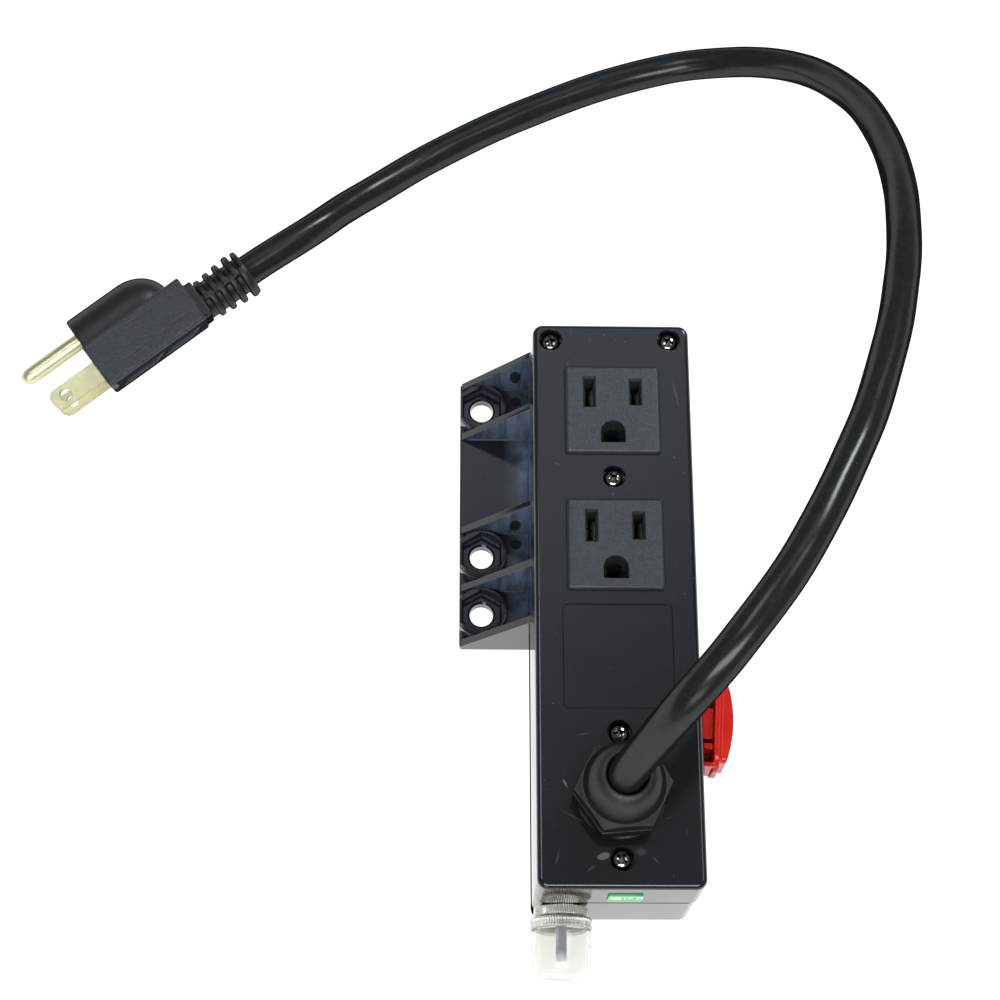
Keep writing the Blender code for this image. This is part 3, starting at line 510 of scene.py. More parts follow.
M = {}
RUBS = [(-14.3, -51.7, 1.4, 0.34, -62, 2.2), (-9.5, -38.7, 2.4, 0.30, 10, 0.35),
        (-4.7, -70.6, 1.9, 1.0, 15, 2.6), (-8.0, -73.8, 1.6, 0.35, 35, 0.35),
        (4.8, -69.4, 1.7, 1.4, 0, 0.3), (8.5, -71.5, 1.6, 0.25, -50, 0.35),
        (-12.7, -60.2, 4.0, 0.22, -28, 0.28), (-16.5, -71.0, 2.4, 0.25, 75, 0.4),
        (12.4, -60.6, 1.2, 0.2, 20, 0.25), (-15.4, 37.0, 1.6, 0.3, -20, 0.3),
        (16.6, 39.0, 0.5, 0.4, 0, 0.5), (17.6, 58.0, 5.0, 0.3, -78, 0.35)]
M["housing_black"] = gloss_black("housing_black", rubs=RUBS)
# back shell: painted shade 2.4 mm deep under the cover's lip; the last two discs sit on gusset faces as painted
# mirror images of the plate's pin marks
M["back_black"] = gloss_black("back_black", (0.0065, 0.0075, 0.0105), 0.07, 0.6, joint_shade=0.0024, pin_marks_and_reflections=[
    (-25.1, 74.0, 3.0, 1.6, 1.0), (-25.2, 29.0, 3.0, 1.6, 1.0), (-32.4, 47.4, 3.0, 3.1, 1.0),
    (-25.5, 77.4, 12.8, 1.6, 0.38), (-25.6, 32.0, 10.4, 1.6, 0.38)])
M["outlet_black"] = satin_black("outlet_black", (0.0125, 0.0155, 0.0185), 0.40, 1500, 0.00014, 0.9,
                                light=2.4, speck=700)
M["nylon_black"] = satin_black("nylon_black", (0.0085, 0.0105, 0.0100), 0.45, 1300, 0.00005, 0.45, 1.7, 1.45,
                               rim=(0.30, 0.65))
M["plug_black"] = satin_black("plug_black", (0.0105, 0.0130, 0.0165), 0.38, 1700, 0.00020, 1.0,
                              light=2.8, ior=1.43, speck=900, rim=(0.5, 0.85))
M["plug_smooth"] = satin_black("plug_smooth", (0.007, 0.0085, 0.0085), 0.42, 2200, 0.00004, 0.35, 1.7, 1.42,
                               rim=(0.4, 0.75))
M["seal_rubber"] = satin_black("seal_rubber", (0.010, 0.010, 0.010), 0.70, 1100)
M["wire_black"] = satin_black("wire_black", (0.012, 0.012, 0.012), 0.38, 1400, 0.00003, 0.3)
M["wire_white"] = satin_black("wire_white", (0.72, 0.72, 0.68), 0.38, 1400, 0.00003, 0.3, 1.05)
M["wire_green"] = satin_black("wire_green", (0.015, 0.20, 0.045), 0.38, 1400, 0.00003, 0.3, 1.3)
s = Shade("sticker_green", 0.42)
at = s.node("ShaderNodeSeparateXYZ")
s.link(s.coord, at.inputs[0])
band = s.ramp(s.calc("ABSOLUTE", s.calc("SUBTRACT", at.outputs["Z"], 0.0357), 0.0), 0.0013, 0.0020, 1.0, 0.0)
blocks = s.ramp(s.noise(900, 1, 0.5, s.stretch((1.0, 0.0, 0.15))), 0.44, 0.54)
s.colour(s.blend(s.calc("MULTIPLY", band, blocks), s.blend(s.noise(500, 3, 0.6), (0.10, 0.48, 0.19), (0.15, 0.60, 0.26)),
                 (0.80, 0.90, 0.78)))
s.rough(s.ramp(s.noise(900, 2, 0.5), 0.3, 0.7, 0.36, 0.48))
s.bumps((s.noise(900, 2, 0.5), 0.3, 0.00003),)
M["sticker_green"] = s.mat

s = Shade("cord_black", 0.24, ior=1.40)
lumps = s.noise(26, 2, 0.5)
s.colour(s.blend(s.ramp(s.noise(420, 4, 0.65), 0.45, 0.8), (0.0095, 0.0108, 0.0115), (0.0165, 0.0180, 0.0188)))
nicks = s.calc("MULTIPLY", s.ramp(s.cells(330), 0.05, 0.10, 1.0, 0.0), s.ramp(s.noise(45, 2, 0.5), 0.60, 0.64))
facing = s.node("ShaderNodeLayerWeight")
facing.inputs["Blend"].default_value = 0.5
s.rough(s.calc("ADD", s.ramp(facing.outputs["Facing"], 0.45, 0.95, 0.0, 0.38),
               s.calc("ADD", s.ramp(lumps, 0.3, 0.7, 0.18, 0.26), s.calc("MULTIPLY", nicks, 0.3))))
s.bumps((lumps, 0.22, 0.0012), (s.noise(1300, 3, 0.6), 0.22, 0.00005), (nicks, 0.5, 0.0001))
s.link(s.ramp(facing.outputs["Facing"], 0.30, 0.62, 0.42, 0.0), s.bsdf.inputs["Specular IOR Level"])
M["cord_black"] = s.mat

s = Shade("screw_black", 0.10, 1.0)
s.colour(s.blend(s.ramp(s.noise(260, 3, 0.6), 0.4, 0.7), (0.20, 0.19, 0.195), (0.34, 0.32, 0.31)))
s.rough(s.ramp(s.noise(500, 3, 0.6), 0.3, 0.7, 0.06, 0.15))
s.bumps((s.noise(420, 2, 0.5), 0.35, 0.00025),)
M["screw_black"] = s.mat


def plated(name, a, b, low, high, grain=900, stretch=None, metal=1.0):
    s = Shade(name, low, metal)
    s.colour(s.blend(s.ramp(s.noise(45, 3, 0.5), 0.3, 0.75), a, b))
    vector = s.stretch(stretch) if stretch else None
    s.rough(s.ramp(s.noise(grain, 3, 0.6, vector), 0.3, 0.72, low, high))
    s.bumps((s.noise(grain * 1.4, 3, 0.6, vector), 0.16, 0.00003), (s.noise(130, 2, 0.5), 0.10, 0.0003))
    return s.mat


M["nickel"] = plated("nickel", (0.94, 0.905, 0.83), (0.82, 0.78, 0.69), 0.16, 0.32, metal=0.7)
s = Shade("nickel_knurl", 0.16, 0.7)
spot = s.node("ShaderNodeSeparateXYZ")
s.link(s.coord, spot.inputs[0])
teeth = s.calc("SINE", s.calc("MULTIPLY", s.calc("ARCTAN2", s.calc("SUBTRACT", spot.outputs["Z"], BRK_Z * MM),
                                                 s.calc("SUBTRACT", spot.outputs["X"], BRK_X * MM)), 72.0), 0.0)
s.colour(s.blend(s.ramp(s.noise(45, 3, 0.5), 0.3, 0.75), (0.96, 0.93, 0.87), (0.84, 0.80, 0.72)))
s.rough(s.ramp(s.noise(900, 3, 0.6), 0.3, 0.72, 0.16, 0.30))
s.bumps((teeth, 0.9, 0.00022), (s.noise(1300, 3, 0.6), 0.16, 0.00003))
M["nickel_knurl"] = s.mat
M["brass"] = plated("brass", (0.82, 0.66, 0.36), (0.70, 0.53, 0.27), 0.20, 0.36)
s = Shade("blade_brass", 0.34, 0.80)
edge = s.node("ShaderNodeLayerWeight")
edge.inputs["Blend"].default_value = 0.5
# painted shade: the brass turns dark where its faces turn away from the view, drawing dark outlines round the blades
s.colour(s.blend(s.ramp(edge.outputs["Facing"], 0.50, 0.85),
                 s.blend(s.ramp(s.noise(150, 3, 0.55), 0.35, 0.7), (0.76, 0.75, 0.48), (0.66, 0.64, 0.38)),
                 (0.20, 0.18, 0.11)))
s.rough(s.ramp(s.noise(320, 3, 0.6), 0.3, 0.72, 0.28, 0.40))
s.bumps((s.noise(110, 2, 0.5), 0.06, 0.0003),)
M["blade_brass"] = s.mat
s = Shade("contact_nickel", 0.30, 1.0)
s.colour(s.blend(s.ramp(s.noise(90, 3, 0.55), 0.35, 0.7), (0.88, 0.88, 0.80), (0.74, 0.73, 0.64)))
s.rough(s.ramp(s.noise(500, 3, 0.6), 0.3, 0.72, 0.22, 0.42))
s.bumps((s.noise(300, 2, 0.5), 0.12, 0.0002),)
M["contact_nickel"] = s.mat

s = Shade("clear_silicone", 0.12, ior=1.36)
s.set(Transmission_Weight=0.86)
s.colour(s.blend(s.ramp(s.noise(60, 2, 0.5), 0.3, 0.75), (0.972, 0.974, 0.940), (0.945, 0.947, 0.908)))
s.rough(s.ramp(s.noise(90, 2, 0.5), 0.3, 0.75, 0.09, 0.15))
s.bumps((s.noise(50, 2, 0.5), 0.05, 0.0003),)
M["clear_silicone"] = s.mat

s = Shade("button_white", 0.35)
along = s.node("ShaderNodeSeparateXYZ")
s.link(s.coord, along.inputs[0])
tip = s.ramp(along.outputs["Y"], -0.0905, -0.0925, 0.0, 1.0)
s.colour(s.blend(tip, s.blend(s.ramp(s.noise(300, 3, 0.6), 0.35, 0.7), (0.06, 0.08, 0.17), (0.11, 0.14, 0.26)),
                 (0.70, 0.74, 0.80)))
s.rough(s.ramp(s.noise(500, 2, 0.5), 0.3, 0.7, 0.28, 0.42))
s.bumps((s.noise(1200, 2, 0.5), 0.2, 0.00004),)
M["button_white"] = s.mat

s = Shade("switch_red", 0.2, ior=1.38)
s.colour(s.blend(s.ramp(s.noise(90, 4, 0.6), 0.35, 0.7), (0.54, 0.010, 0.004), (0.60, 0.016, 0.009)))
s.set(Subsurface_Weight=0.30, Subsurface_Scale=0.004)
s.rough(s.ramp(s.noise(220, 3, 0.6), 0.3, 0.7, 0.14, 0.26))
s.bumps((s.noise(70, 2, 0.5), 0.10, 0.0005), (s.noise(1500, 2, 0.5), 0.06, 0.00005))
M["switch_red"] = s.mat


def finish_piece(obj, name, mat, body, *nodes, slot=None):
    """Names and paints a piece, and puts it on its body in place of CAD nodes."""
    obj.name = name
    obj.data.name = name
    obj.data.materials.clear()
    obj.data.materials.append(M[mat])
    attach(obj, body)
    if nodes:
        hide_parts(*nodes)
    return obj


# ============================ lead ================================================
tail = [tuple(LIE @ Vector((x * MM, 0, 0)) / MM) for x in (-51.0, -45.0, -39.5)]
route = spline(LEAD + tail, 16)
lengths = [0.0]
for a, b in zip(route, route[1:]):
    lengths.append(lengths[-1] + (b - a).length)


def lead_mesh(name, line, radius, sides=40):
    """A tube whose jacket shows the three twisted cores as faint lobes."""
    bm = bmesh.new()
    tangents = []
    for i in range(len(line)):
        a, b = line[max(i - 1, 0)], line[min(i + 1, len(line) - 1)]
        tangents.append((b - a).normalized())
    side = tangents[0].orthogonal().normalized()
    rings = []
    for i, (p, t) in enumerate(zip(line, tangents)):
        side = (side - t * side.dot(t)).normalized()
        up = t.cross(side)
        s_mm = lengths[i]
        ring = []
        for k in range(sides):
            a = math.tau * k / sides
            lobe = 0.010 * math.cos(3 * (a - math.tau * s_mm / 88.0))
            wave = 0.006 * noise.noise(Vector((s_mm / 17.0, math.cos(a), math.sin(a))))
            r = radius * (0.992 + lobe + wave)
            q = p + side * (r * math.cos(a)) + up * (r * math.sin(a))
            ring.append(bm.verts.new([c * MM for c in q]))
        rings.append(ring)
    for a, b in zip(rings, rings[1:]):
        for k in range(sides):
            j = (k + 1) % sides
            bm.faces.new((a[k], a[j], b[j], b[k]))
    bm.faces.new(rings[0][::-1])
    bm.faces.new(rings[-1])
    return place(name, bm)


lead = lead_mesh("mains_lead", route, CORD_D / 2)
lead.data.shade_smooth()
finish_piece(lead, "mains_lead", "cord_black", "housing", "cord")

# ============================ back shell and bracket ===============================
shell = rbox("back_shell", (-BACK_X, -BACK_Y, 0), (BACK_X, BACK_Y, SEAM_Z - 0.35), corner=3.0,
             seg=9, low=0.9, high=0.3, rseg=4)
adds = [rbox("plate", (PLATE_X, PLATE_Y0, 0), (-BACK_X + 1.6, PLATE_Y1, PLATE_T), corner=0.9,
             seg=4, low=0.35, high=0.4, rseg=3)]
for n, y in enumerate(BOSS_Y):
    boss = lathe(f"boss_{n}", [(0, 0.4), (BOSS_R, 0.4), (BOSS_R, BOSS_H - 0.5),
                               (BOSS_R - 0.15, BOSS_H - 0.15), (BOSS_R - 0.5, BOSS_H),
                               (0, BOSS_H)], 64, base=(BOSS_X, y, 0))
    adds.append(keep(boss, rbox("limits", (PLATE_X + 0.02, y - 9, 0), (BOSS_X + 9, y + 9, 9),
                                corner=0.2, seg=1)))
for n, y in enumerate(GUSSETS):
    bm = bmesh.new()
    outline = [(PLATE_X + 0.5, 1.0), (-BACK_X + 1.4, 1.0), (-BACK_X + 1.4, 26.4),
               (-BACK_X - 0.3, 26.4), (PLATE_X + 0.5, 3.6)]
    face = bm.faces.new([bm.verts.new((x * MM, y * MM, z * MM)) for x, z in outline])
    raised = bmesh.ops.extrude_face_region(bm, geom=[face])
    bmesh.ops.translate(bm, vec=(0, 2.0 * MM, 0),
                        verts=[v for v in raised["geom"] if isinstance(v, bmesh.types.BMVert)])
    bmesh.ops.recalc_face_normals(bm, faces=bm.faces)
    adds.append(place(f"gusset_{n}", bm))
join(shell, *adds)
eased = bmesh.new()
eased.from_mesh(shell.data)
foot, head_at = (PLATE_X + 0.5, 3.6), (-BACK_X - 0.3, 26.4)


def on_slope(v):
    x, z = v.co.x / MM, v.co.z / MM
    t = (x - foot[0]) / (head_at[0] - foot[0])
    return -0.01 < t < 1.01 and abs(foot[1] + t * (head_at[1] - foot[1]) - z) < 0.01


slopes = [e for e in eased.edges if all(on_slope(v) for v in e.verts)
          and abs(e.verts[0].co.y - e.verts[1].co.y) < 1e-6 and e.calc_length() > 2 * MM]
bmesh.ops.bevel(eased, geom=slopes, offset=0.3 * MM, segments=3, profile=0.5, affect="EDGES",
                clamp_overlap=True)
eased.to_mesh(shell.data)
eased.free()
cuts = [rbox("cavity", (-19.3, -76.4, 2.4), (19.3, 76.4, 40), corner=1.2, seg=3, low=0.5, rseg=2)]
for n, y in enumerate(BOSS_Y):
    hexes = []
    for h, af in ((4.0, 10.3), (6.35, 10.3), (7.05, 11.4), (9.0, 11.6)):
        hexes.append((ngon(BOSS_X, y, af / math.sqrt(3), 6, 90), h))
    cuts.append(skin(f"hex_pocket_{n}", hexes))
    cuts.append(lathe(f"bolt_hole_{n}", [(0, -1), (3.9, -1), (3.9, 0.0), (3.35, 0.5), (3.35, 3.5),
                                         (3.95, 4.02), (0, 4.02)], 48, base=(BOSS_X, y, 0)))
for x, y, r in ((-25.1, 74.0, 1.55), (-25.2, 29.0, 1.55), (-25.2, 11.2, 1.55), (-32.4, 47.4, 3.0)):
    cuts.append(lathe("pin_mark", [(0, PLATE_T - 0.22), (r, PLATE_T - 0.22), (r + 0.1, PLATE_T + 0.3),
                                   (0, PLATE_T + 0.3)], 32, base=(x, y, 0)))
cuts.append(rbox("switch_hole", (14.0, -44.0, 14.0), (26.0, -18.0, 34.0), corner=0.4, seg=2))
cuts.append(lathe("breaker_hole", [(0, -90), (5.5, -90), (5.5, -70), (0, -70)], 40,
                  base=(BRK_X, 0, BRK_Z), axis="Y"))
cut(shell, *cuts)
lip = rbox("tongue", (-19.5, -76.6, 24.6), (19.5, 76.6, 29.2), corner=1.4, seg=3)
cut(lip, rbox("tongue_hole", (-18.3, -75.4, 24.0), (18.3, 75.4, 30.0), corner=0.8, seg=3))
posts = [lip, rbox("corner_fill", (-19.45, 73.6, 1.2), (-16.4, 76.55, 29.2), corner=0.3, seg=2)]
for n, (x, y) in enumerate(SCREWS):
    posts.append(lathe(f"post_{n}", [(0, 1.2), (2.6, 1.2), (2.6, 40.6), (0, 40.6)], 24, base=(x, y, 0)))
join(shell, *posts)
cut(shell, *[lathe(f"pilot_{n}", [(0, 26), (1.75, 26), (1.75, 46), (0, 46)], 16, base=(x, y, 0))
             for n, (x, y) in enumerate(SCREWS)],
    rbox("switch_hole_b", (14.0, -44.0, 14.0), (26.0, -18.0, 34.0), corner=0.4, seg=2))
tidy(shell)
finish_piece(shell, "back_shell", "back_black", "housing", "back_housing")

# ============================ front cover =========================================
cover = rbox("cover_shell", (-COVER_X, -COVER_Y, SEAM_Z + 0.3), (COVER_X, COVER_Y, FRONT_Z),
             corner=3.0, seg=9, low=0.3, high=1.4, rseg=6, lean=0.2)
cuts = [rbox("cover_cavity", (-19.9, -77.1, 20), (19.9, 77.1, 43.4), corner=1.4, seg=3, high=0.6,
             rseg=2)]
cut(cover, *cuts)
join(cover, *[lathe(f"cover_boss_{n}", [(0, 41.0), (4.2, 41.0), (4.2, 44.6), (0, 44.6)], 32,
                    base=(x, y, 0)) for n, (x, y) in enumerate(SCREWS)])
cuts = []
for n, (x, y) in enumerate(SCREWS):
    cuts.append(lathe(f"well_{n}", [(0, 38), (1.75, 38), (1.75, 43.0), (3.05, 43.0), (3.05, 45.55),
                                    (3.12, 45.8), (3.3, 45.98), (3.4, 46.5), (0, 46.5)], 48,
                      base=(x, y, 0)))
for which, y in OUTLET_Y.items():
    cuts.append(rbox(f"window_{which}", (-12.5, y - 12.3, 40), (12.5, y + 12.3, 50), corner=0.5,
                     seg=2))
cuts.append(lathe("gland_hole", [(0, 38), (9.6, 38), (9.6, 50), (0, 50)], 48, base=(*GLAND, 0)))
cuts.append(skin("label_recess", [(round_rect(0.2, -17.4, 14.5 + d, 14.2 + d, 1.2 + d, 4), h)
                                  for d, h in ((-0.12, 45.72), (0.0, 45.84), (0.16, 46.0),
                                               (0.2, 46.4))]))
cuts.append(rbox("switch_hole_c", (14.0, -44.0, 14.0), (26.0, -18.0, 34.0), corner=0.4, seg=2))
cut(cover, *cuts)
tidy(cover)
finish_piece(cover, "cover_shell", "housing_black", "housing", "front_cover")

# ============================ cover screws ========================================
for n, (x, y) in enumerate(SCREWS, 1):
    head = lathe("head", [(0, 45.5), (0.6, 45.49), (1.3, 45.38), (2.0, 45.1), (2.45, 44.72),
                          (2.7, 44.2), (2.75, 43.75), (2.7, 43.35), (2.55, 43.3), (1.4, 43.3),
                          (1.4, 29.2), (0.6, 28.0), (0, 28.0)], 48)
    for k in range(2):
        half = 1.55
        wing = skin(f"wing_{k}", [
            ([(sx * half * a, sy * b) for sx, sy in ((1, 1), (-1, 1), (-1, -1), (1, -1))], h)
            for a, b, h in ((0.45, 0.16, 43.9), (1.0, 0.36, 45.35), (1.12, 0.42, 46.0))])
        shift(wing, Matrix.Rotation(math.radians(90 * k), 4, "Z"))
        cut(head, wing)
    cut(head, skin("core", [(ngon(0, 0, 0.35, 8), 43.7), (ngon(0, 0, 0.85, 8), 45.6),
                            (ngon(0, 0, 0.9, 8), 46.0)]))
    shift(head, Matrix.Translation((x * MM, y * MM, 0))
          @ Matrix.Rotation(math.radians((17, 62, 38, 8, 55)[n - 1]), 4, "Z"))
    tidy(head, 28)
    finish_piece(head, f"pan_screw_{n}", "screw_black", "housing", f"cover_screw_{n}")

# ============================ outlets =============================================
for which, yc in OUTLET_Y.items():
    ys, yg = yc + 5.0, yc + 5.0 - 11.9
    face = skin("outlet_face", [
        (round_rect(0, yc, 13.15 - d, 12.95 - d, max(0.95 - d * 0.6, 0.3), 5), h)
        for d, h in ((0.15, 45.6), (0.0, 46.06), (0.0, 46.5), (0.12, 46.86), (0.38, 47.2),
                     (0.72, 47.42), (1.05, 47.5))])
    join(face, rbox("core", (-12.2, yc - 12.0, 24.0), (12.2, yc + 12.0, 47.0), corner=0.5, seg=2),
         rbox("snap", (-13.1, yc - 4.0, 39.5), (13.1, yc + 4.0, 43.0), corner=0.3, seg=2))
    cuts = []
    for tag, x, half_l in (("neutral", -6.35, 4.15), ("line", 6.35, 3.5)):
        cuts.append(skin(f"slot_{tag}", [
            ([(x + sx * (1.25 + d), ys + sy * (half_l + d)) for sx, sy in ((1, 1), (-1, 1), (-1, -1), (1, -1))], h)
            for d, h in ((0, 40), (0, 46.75), (0.55, 47.5), (0.6, 47.9))]))
        cuts.append(rbox(f"bay_{tag}", (x - 3.0, ys - 5.0, 20), (x + 3.0, ys + 5.0, 42), corner=0.3,
                         seg=2))
    def dee(grow):
        r = 3.0 + grow
        return [(r * math.cos(math.radians(k * 9)), yg + r * math.sin(math.radians(k * 9)))
                for k in range(21)] + [(-r, yg - 2.7 - grow), (r, yg - 2.7 - grow)]

    cuts.append(skin("ground", [(dee(0), 40), (dee(0), 46.7), (dee(0.42), 47.5), (dee(0.46), 47.9)]))
    cuts.append(rbox("bay_ground", (-4.2, yg - 4.4, 20), (4.2, yg + 4.4, 42), corner=0.3, seg=2))
    cut(face, *cuts)
    tidy(face)
    finish_piece(face, f"outlet_face_{which}", "outlet_black", "housing", f"outlet_{which}",
                 f"outlet_{which}_base")
    # spring contacts: folded strips with flared mouths
    for tag, x, y, half, width in (("neutral", -6.35, ys, 1.35, 3.6), ("line", 6.35, ys, 1.35, 3.2),
                                   ("ground", 0.0, yg, 2.5, 3.0)):
        pinch = 0.55 if tag != "ground" else 1.9
        section = [(half + 0.1, 25.9), (half + 0.1, 33.0), (pinch + 0.35, 36.6), (pinch, 38.3),
                   (pinch + 0.2, 39.7), (pinch + 0.75, 41.0), (pinch + 0.95, 41.5)]
        section = [(-u, h) for u, h in section[::-1]] + section
        bm = bmesh.new()
        rows = [[bm.verts.new(((x + u) * MM, (y + v) * MM, z * MM)) for u, z in section]
                for v in (-width, width)]
        for i in range(len(section) - 1):
            bm.faces.new((rows[0][i], rows[0][i + 1], rows[1][i + 1], rows[1][i]))
        strip = place("strip", bm)
        thick = strip.modifiers.new("thick", "SOLIDIFY")
        thick.thickness = 0.45 * MM
        thick.offset = 0
        bake(strip)
        join(strip, rbox("tail", (x - 0.4, y - 2.5, 18.0), (x + 0.4, y + 2.5, 26.0), corner=0.15,
                         seg=2))
        tidy(strip, 40)
        finish_piece(strip, f"spring_{tag}_{which}", "contact_nickel", "housing",
                     f"contact_{tag}_{which}")

# ============================ cable gland =========================================
gx, gy = GLAND
TURN = 5.0
HEX_R = 22.0 / math.sqrt(3)


def hex_ring(name, z0, z1, bevel_top, bevel_low):
    """A hexagon whose corners are turned off at top and bottom, as on a nut."""
    body = skin(name, [(ngon(gx, gy, HEX_R, 6, TURN), z0), (ngon(gx, gy, HEX_R, 6, TURN), z1)])
    profile = [(0, z0), (HEX_R - 0.9 if bevel_low else HEX_R + 0.5, z0),
               (HEX_R + 0.1, z0 + (0.8 if bevel_low else 0.1)),
               (HEX_R + 0.1, z1 - (bevel_top if bevel_top else 0.1)),
               (HEX_R - bevel_top if bevel_top else HEX_R + 0.5, z1), (0, z1)]
    return keep(body, lathe("turning", profile, 96, base=(gx, gy, 0)))


gland = hex_ring("gland_base", 46.05, 51.5, 0.7, False)
join(gland, lathe("thread", [(0, 37.5), (9.25, 37.5), (9.25, 47.5), (0, 47.5)], 48, base=(gx, gy, 0)),
     lathe("spigot", [(0, 50.0), (8.6, 50.0), (8.6, 51.9), (8.3, 52.1), (8.3, 60.5), (0, 60.5)], 48,
           base=(gx, gy, 0)),
     lathe("washer", [(0, 46.03), (11.6, 46.03), (11.8, 46.3), (11.6, 46.8), (0, 46.8)], 64,
           base=(gx, gy, 0)))
cut(gland, lathe("bore", [(0, 30), (5.3, 30), (5.3, 52.6), (7.4, 52.6), (7.4, 70), (0, 70)], 48,
                 base=(gx, gy, 0)))
soften(gland, 0.22, 3)
finish_piece(gland, "gland_base", "nylon_black", "housing", "gland_body")

oval = [(5.5 + 5.0 * math.sin(math.radians(a)), 57.2 + 11.75 * math.cos(math.radians(a)))
        for a in range(90, -1, -6)]
dome = lathe("gland_cap", [(0, 52.35), (10.5, 52.35)] + oval + [(0, 68.95)], 96, base=(gx, gy, 0))
join(dome, hex_ring("cap_hex", 52.4, 58.5, 2.45, True))
cut(dome, lathe("cap_bore", [(0, 50), (8.7, 50), (8.7, 62.9), (5.3, 66.0), (5.15, 67.9), (5.3, 68.5),
                             (5.75, 69.2), (0, 69.2)], 64, base=(gx, gy, 0)))
soften(dome, 0.22, 3)
finish_piece(dome, "gland_cap", "nylon_black", "housing", "gland_dome_nut")

# ============================ breaker =============================================
def out(profile):
    """Heights on the breaker's axis are measured outwards, along -Y."""
    return [(r, -h) for r, h in profile]


knurl = []
for h, r in ((79.1, 6.75), (79.3, 7.1), (79.5, 7.2), (81.3, 7.2), (81.5, 7.1), (81.7, 6.75)):
    loop = []
    for k in range(432):
        a = math.tau * k / 432
        dip = 0.22 * (0.5 - 0.5 * math.cos(72 * a)) if 79.35 < h < 81.45 else 0.0
        loop.append((BRK_Z + (r - dip) * math.cos(a), BRK_X + (r - dip) * math.sin(a)))
    knurl.append((loop, -h))
nut = skin("knurled_nut", knurl, "Y")
cut(nut, lathe("nut_bore", out([(0, 78), (5.4, 78), (5.4, 83), (0, 83)]), 40, base=(BRK_X, 0, BRK_Z),
               axis="Y"))
tidy(nut, 50, False)
finish_piece(nut, "knurled_nut", "nickel", "housing", "breaker_nut")
ring = lathe("boot_rim", out([(5.5, 82.0), (7.5, 82.0), (7.95, 82.12), (8.2, 82.4), (8.25, 82.8),
                              (8.05, 83.1), (8.0, 83.5), (8.0, 84.1), (8.22, 84.3), (8.25, 84.6),
                              (8.15, 84.9), (7.9, 85.0), (7.65, 85.0), (7.62, 83.55),
                              (5.5, 83.5)]), 96, ring=True, base=(BRK_X, 0, BRK_Z), axis="Y")
tidy(ring, 40, False)
finish_piece(ring, "boot_rim", "nickel_knurl", "housing", "boot_ring")
boot = lathe("clear_boot", out([(0, 98.0), (2.4, 97.98), (4.4, 97.85), (5.8, 97.5), (6.8, 96.9),
                                (7.45, 96.1), (7.85, 95.0), (8.0, 93.6), (8.03, 90.0), (8.05, 86.2),
                                (7.95, 85.45), (7.45, 85.2), (7.3, 84.9), (7.3, 83.75), (6.75, 83.7),
                                (6.72, 88.0), (6.7, 93.2), (6.5, 94.5), (6.0, 95.5), (5.2, 96.15),
                                (4.0, 96.5), (2.2, 96.68), (0, 96.7)]), 96,
             base=(BRK_X, 0, BRK_Z), axis="Y")
tidy(boot, 50, False)
finish_piece(boot, "clear_boot", "clear_silicone", "housing", "reset_boot")
stem = lathe("reset_stem", out([(0, 93.3), (0.7, 93.28), (1.15, 93.1), (1.38, 92.8), (1.45, 92.4),
                                (1.45, 74.0), (0, 74.0)]), 40, base=(BRK_X, 0, BRK_Z), axis="Y")
tidy(stem, 40, False)
finish_piece(stem, "reset_stem", "button_white", "button", "reset_button")

# ============================ rocker switch =======================================
bezel = rbox("switch_bezel", (22.0, SW[1] - 16.0, SW[2] - 12.5), (23.0, SW[1] + 16.0, SW[2] + 12.5),
             corner=1.4, seg=5, high=0.5, rseg=3, axis="X")
join(bezel, rbox("barrel", (4.0, SW[1] - 12.5, SW[2] - 9.6), (22.4, SW[1] + 12.5, SW[2] + 9.6),
                 corner=0.6, seg=3, axis="X"))
cut(bezel, rbox("pocket", (12.0, SW[1] - 10.5, SW[2] - 7.0), (26.0, SW[1] + 10.5, SW[2] + 7.0),
                corner=0.6, seg=3, axis="X"),
    lathe("pivot_hole", [(0, SW[2] - 8.6), (1.5, SW[2] - 8.6), (1.5, SW[2] + 8.6), (0, SW[2] + 8.6)],
          24, base=(SW[0], SW[1], 0)))
tidy(bezel)
finish_piece(bezel, "switch_bezel", "nylon_black", "housing", "switch_body")

paddle = rbox("paddle", (8.1, -12.8, -7.0), (9.9, 12.8, 9.0), corner=5.0, seg=10, low=0.35,
              high=0.45, rseg=3, axis="X")
pad_loop = [(-22.7 + 36.0 * math.cos(math.radians(t)), 36.0 * math.sin(math.radians(t)))
            for t in [-18 + 0.9 * k for k in range(41)]] + [(8.8, 11.1), (8.8, -11.1)]
pad = skin("pad", [(pad_loop, -6.0), (pad_loop, 8.0)])
keep(pad, rbox("pad_limits", (8.7, -10.8, -6.0), (20.0, 10.8, 8.0), corner=1.6, seg=4, axis="X"))
join(paddle, pad,
     rbox("end_a", (5.3, -12.1, -3.6), (8.7, -10.9, 7.6), corner=0.2, seg=2),
     rbox("end_b", (5.3, 10.9, -3.6), (8.7, 12.1, 7.6), corner=0.2, seg=2),
     rbox("rib_a", (5.5, -7.3, -5.6), (8.7, -5.7, 7.6), corner=0.2, seg=2),
     rbox("rib_b", (5.5, 5.7, -5.6), (8.7, 7.3, 7.6), corner=0.2, seg=2),
     rbox("web", (5.5, -11.4, -0.8), (8.7, 11.4, 0.8), corner=0.2, seg=2),
     rbox("hub", (-2.6, -4.2, -6.4), (8.7, 4.2, 6.4), corner=0.4, seg=2),
     lathe("pin", [(0, -8.2), (1.2, -8.2), (1.2, 8.2), (0, 8.2)], 24))
soften(paddle, 0.2, 3)
shift(paddle, Matrix.Translation([c * MM for c in SW])
      @ Matrix.Rotation(math.radians(SW_REST), 4, "Z"))
finish_piece(paddle, "paddle", "switch_red", "rocker", "switch_rocker")

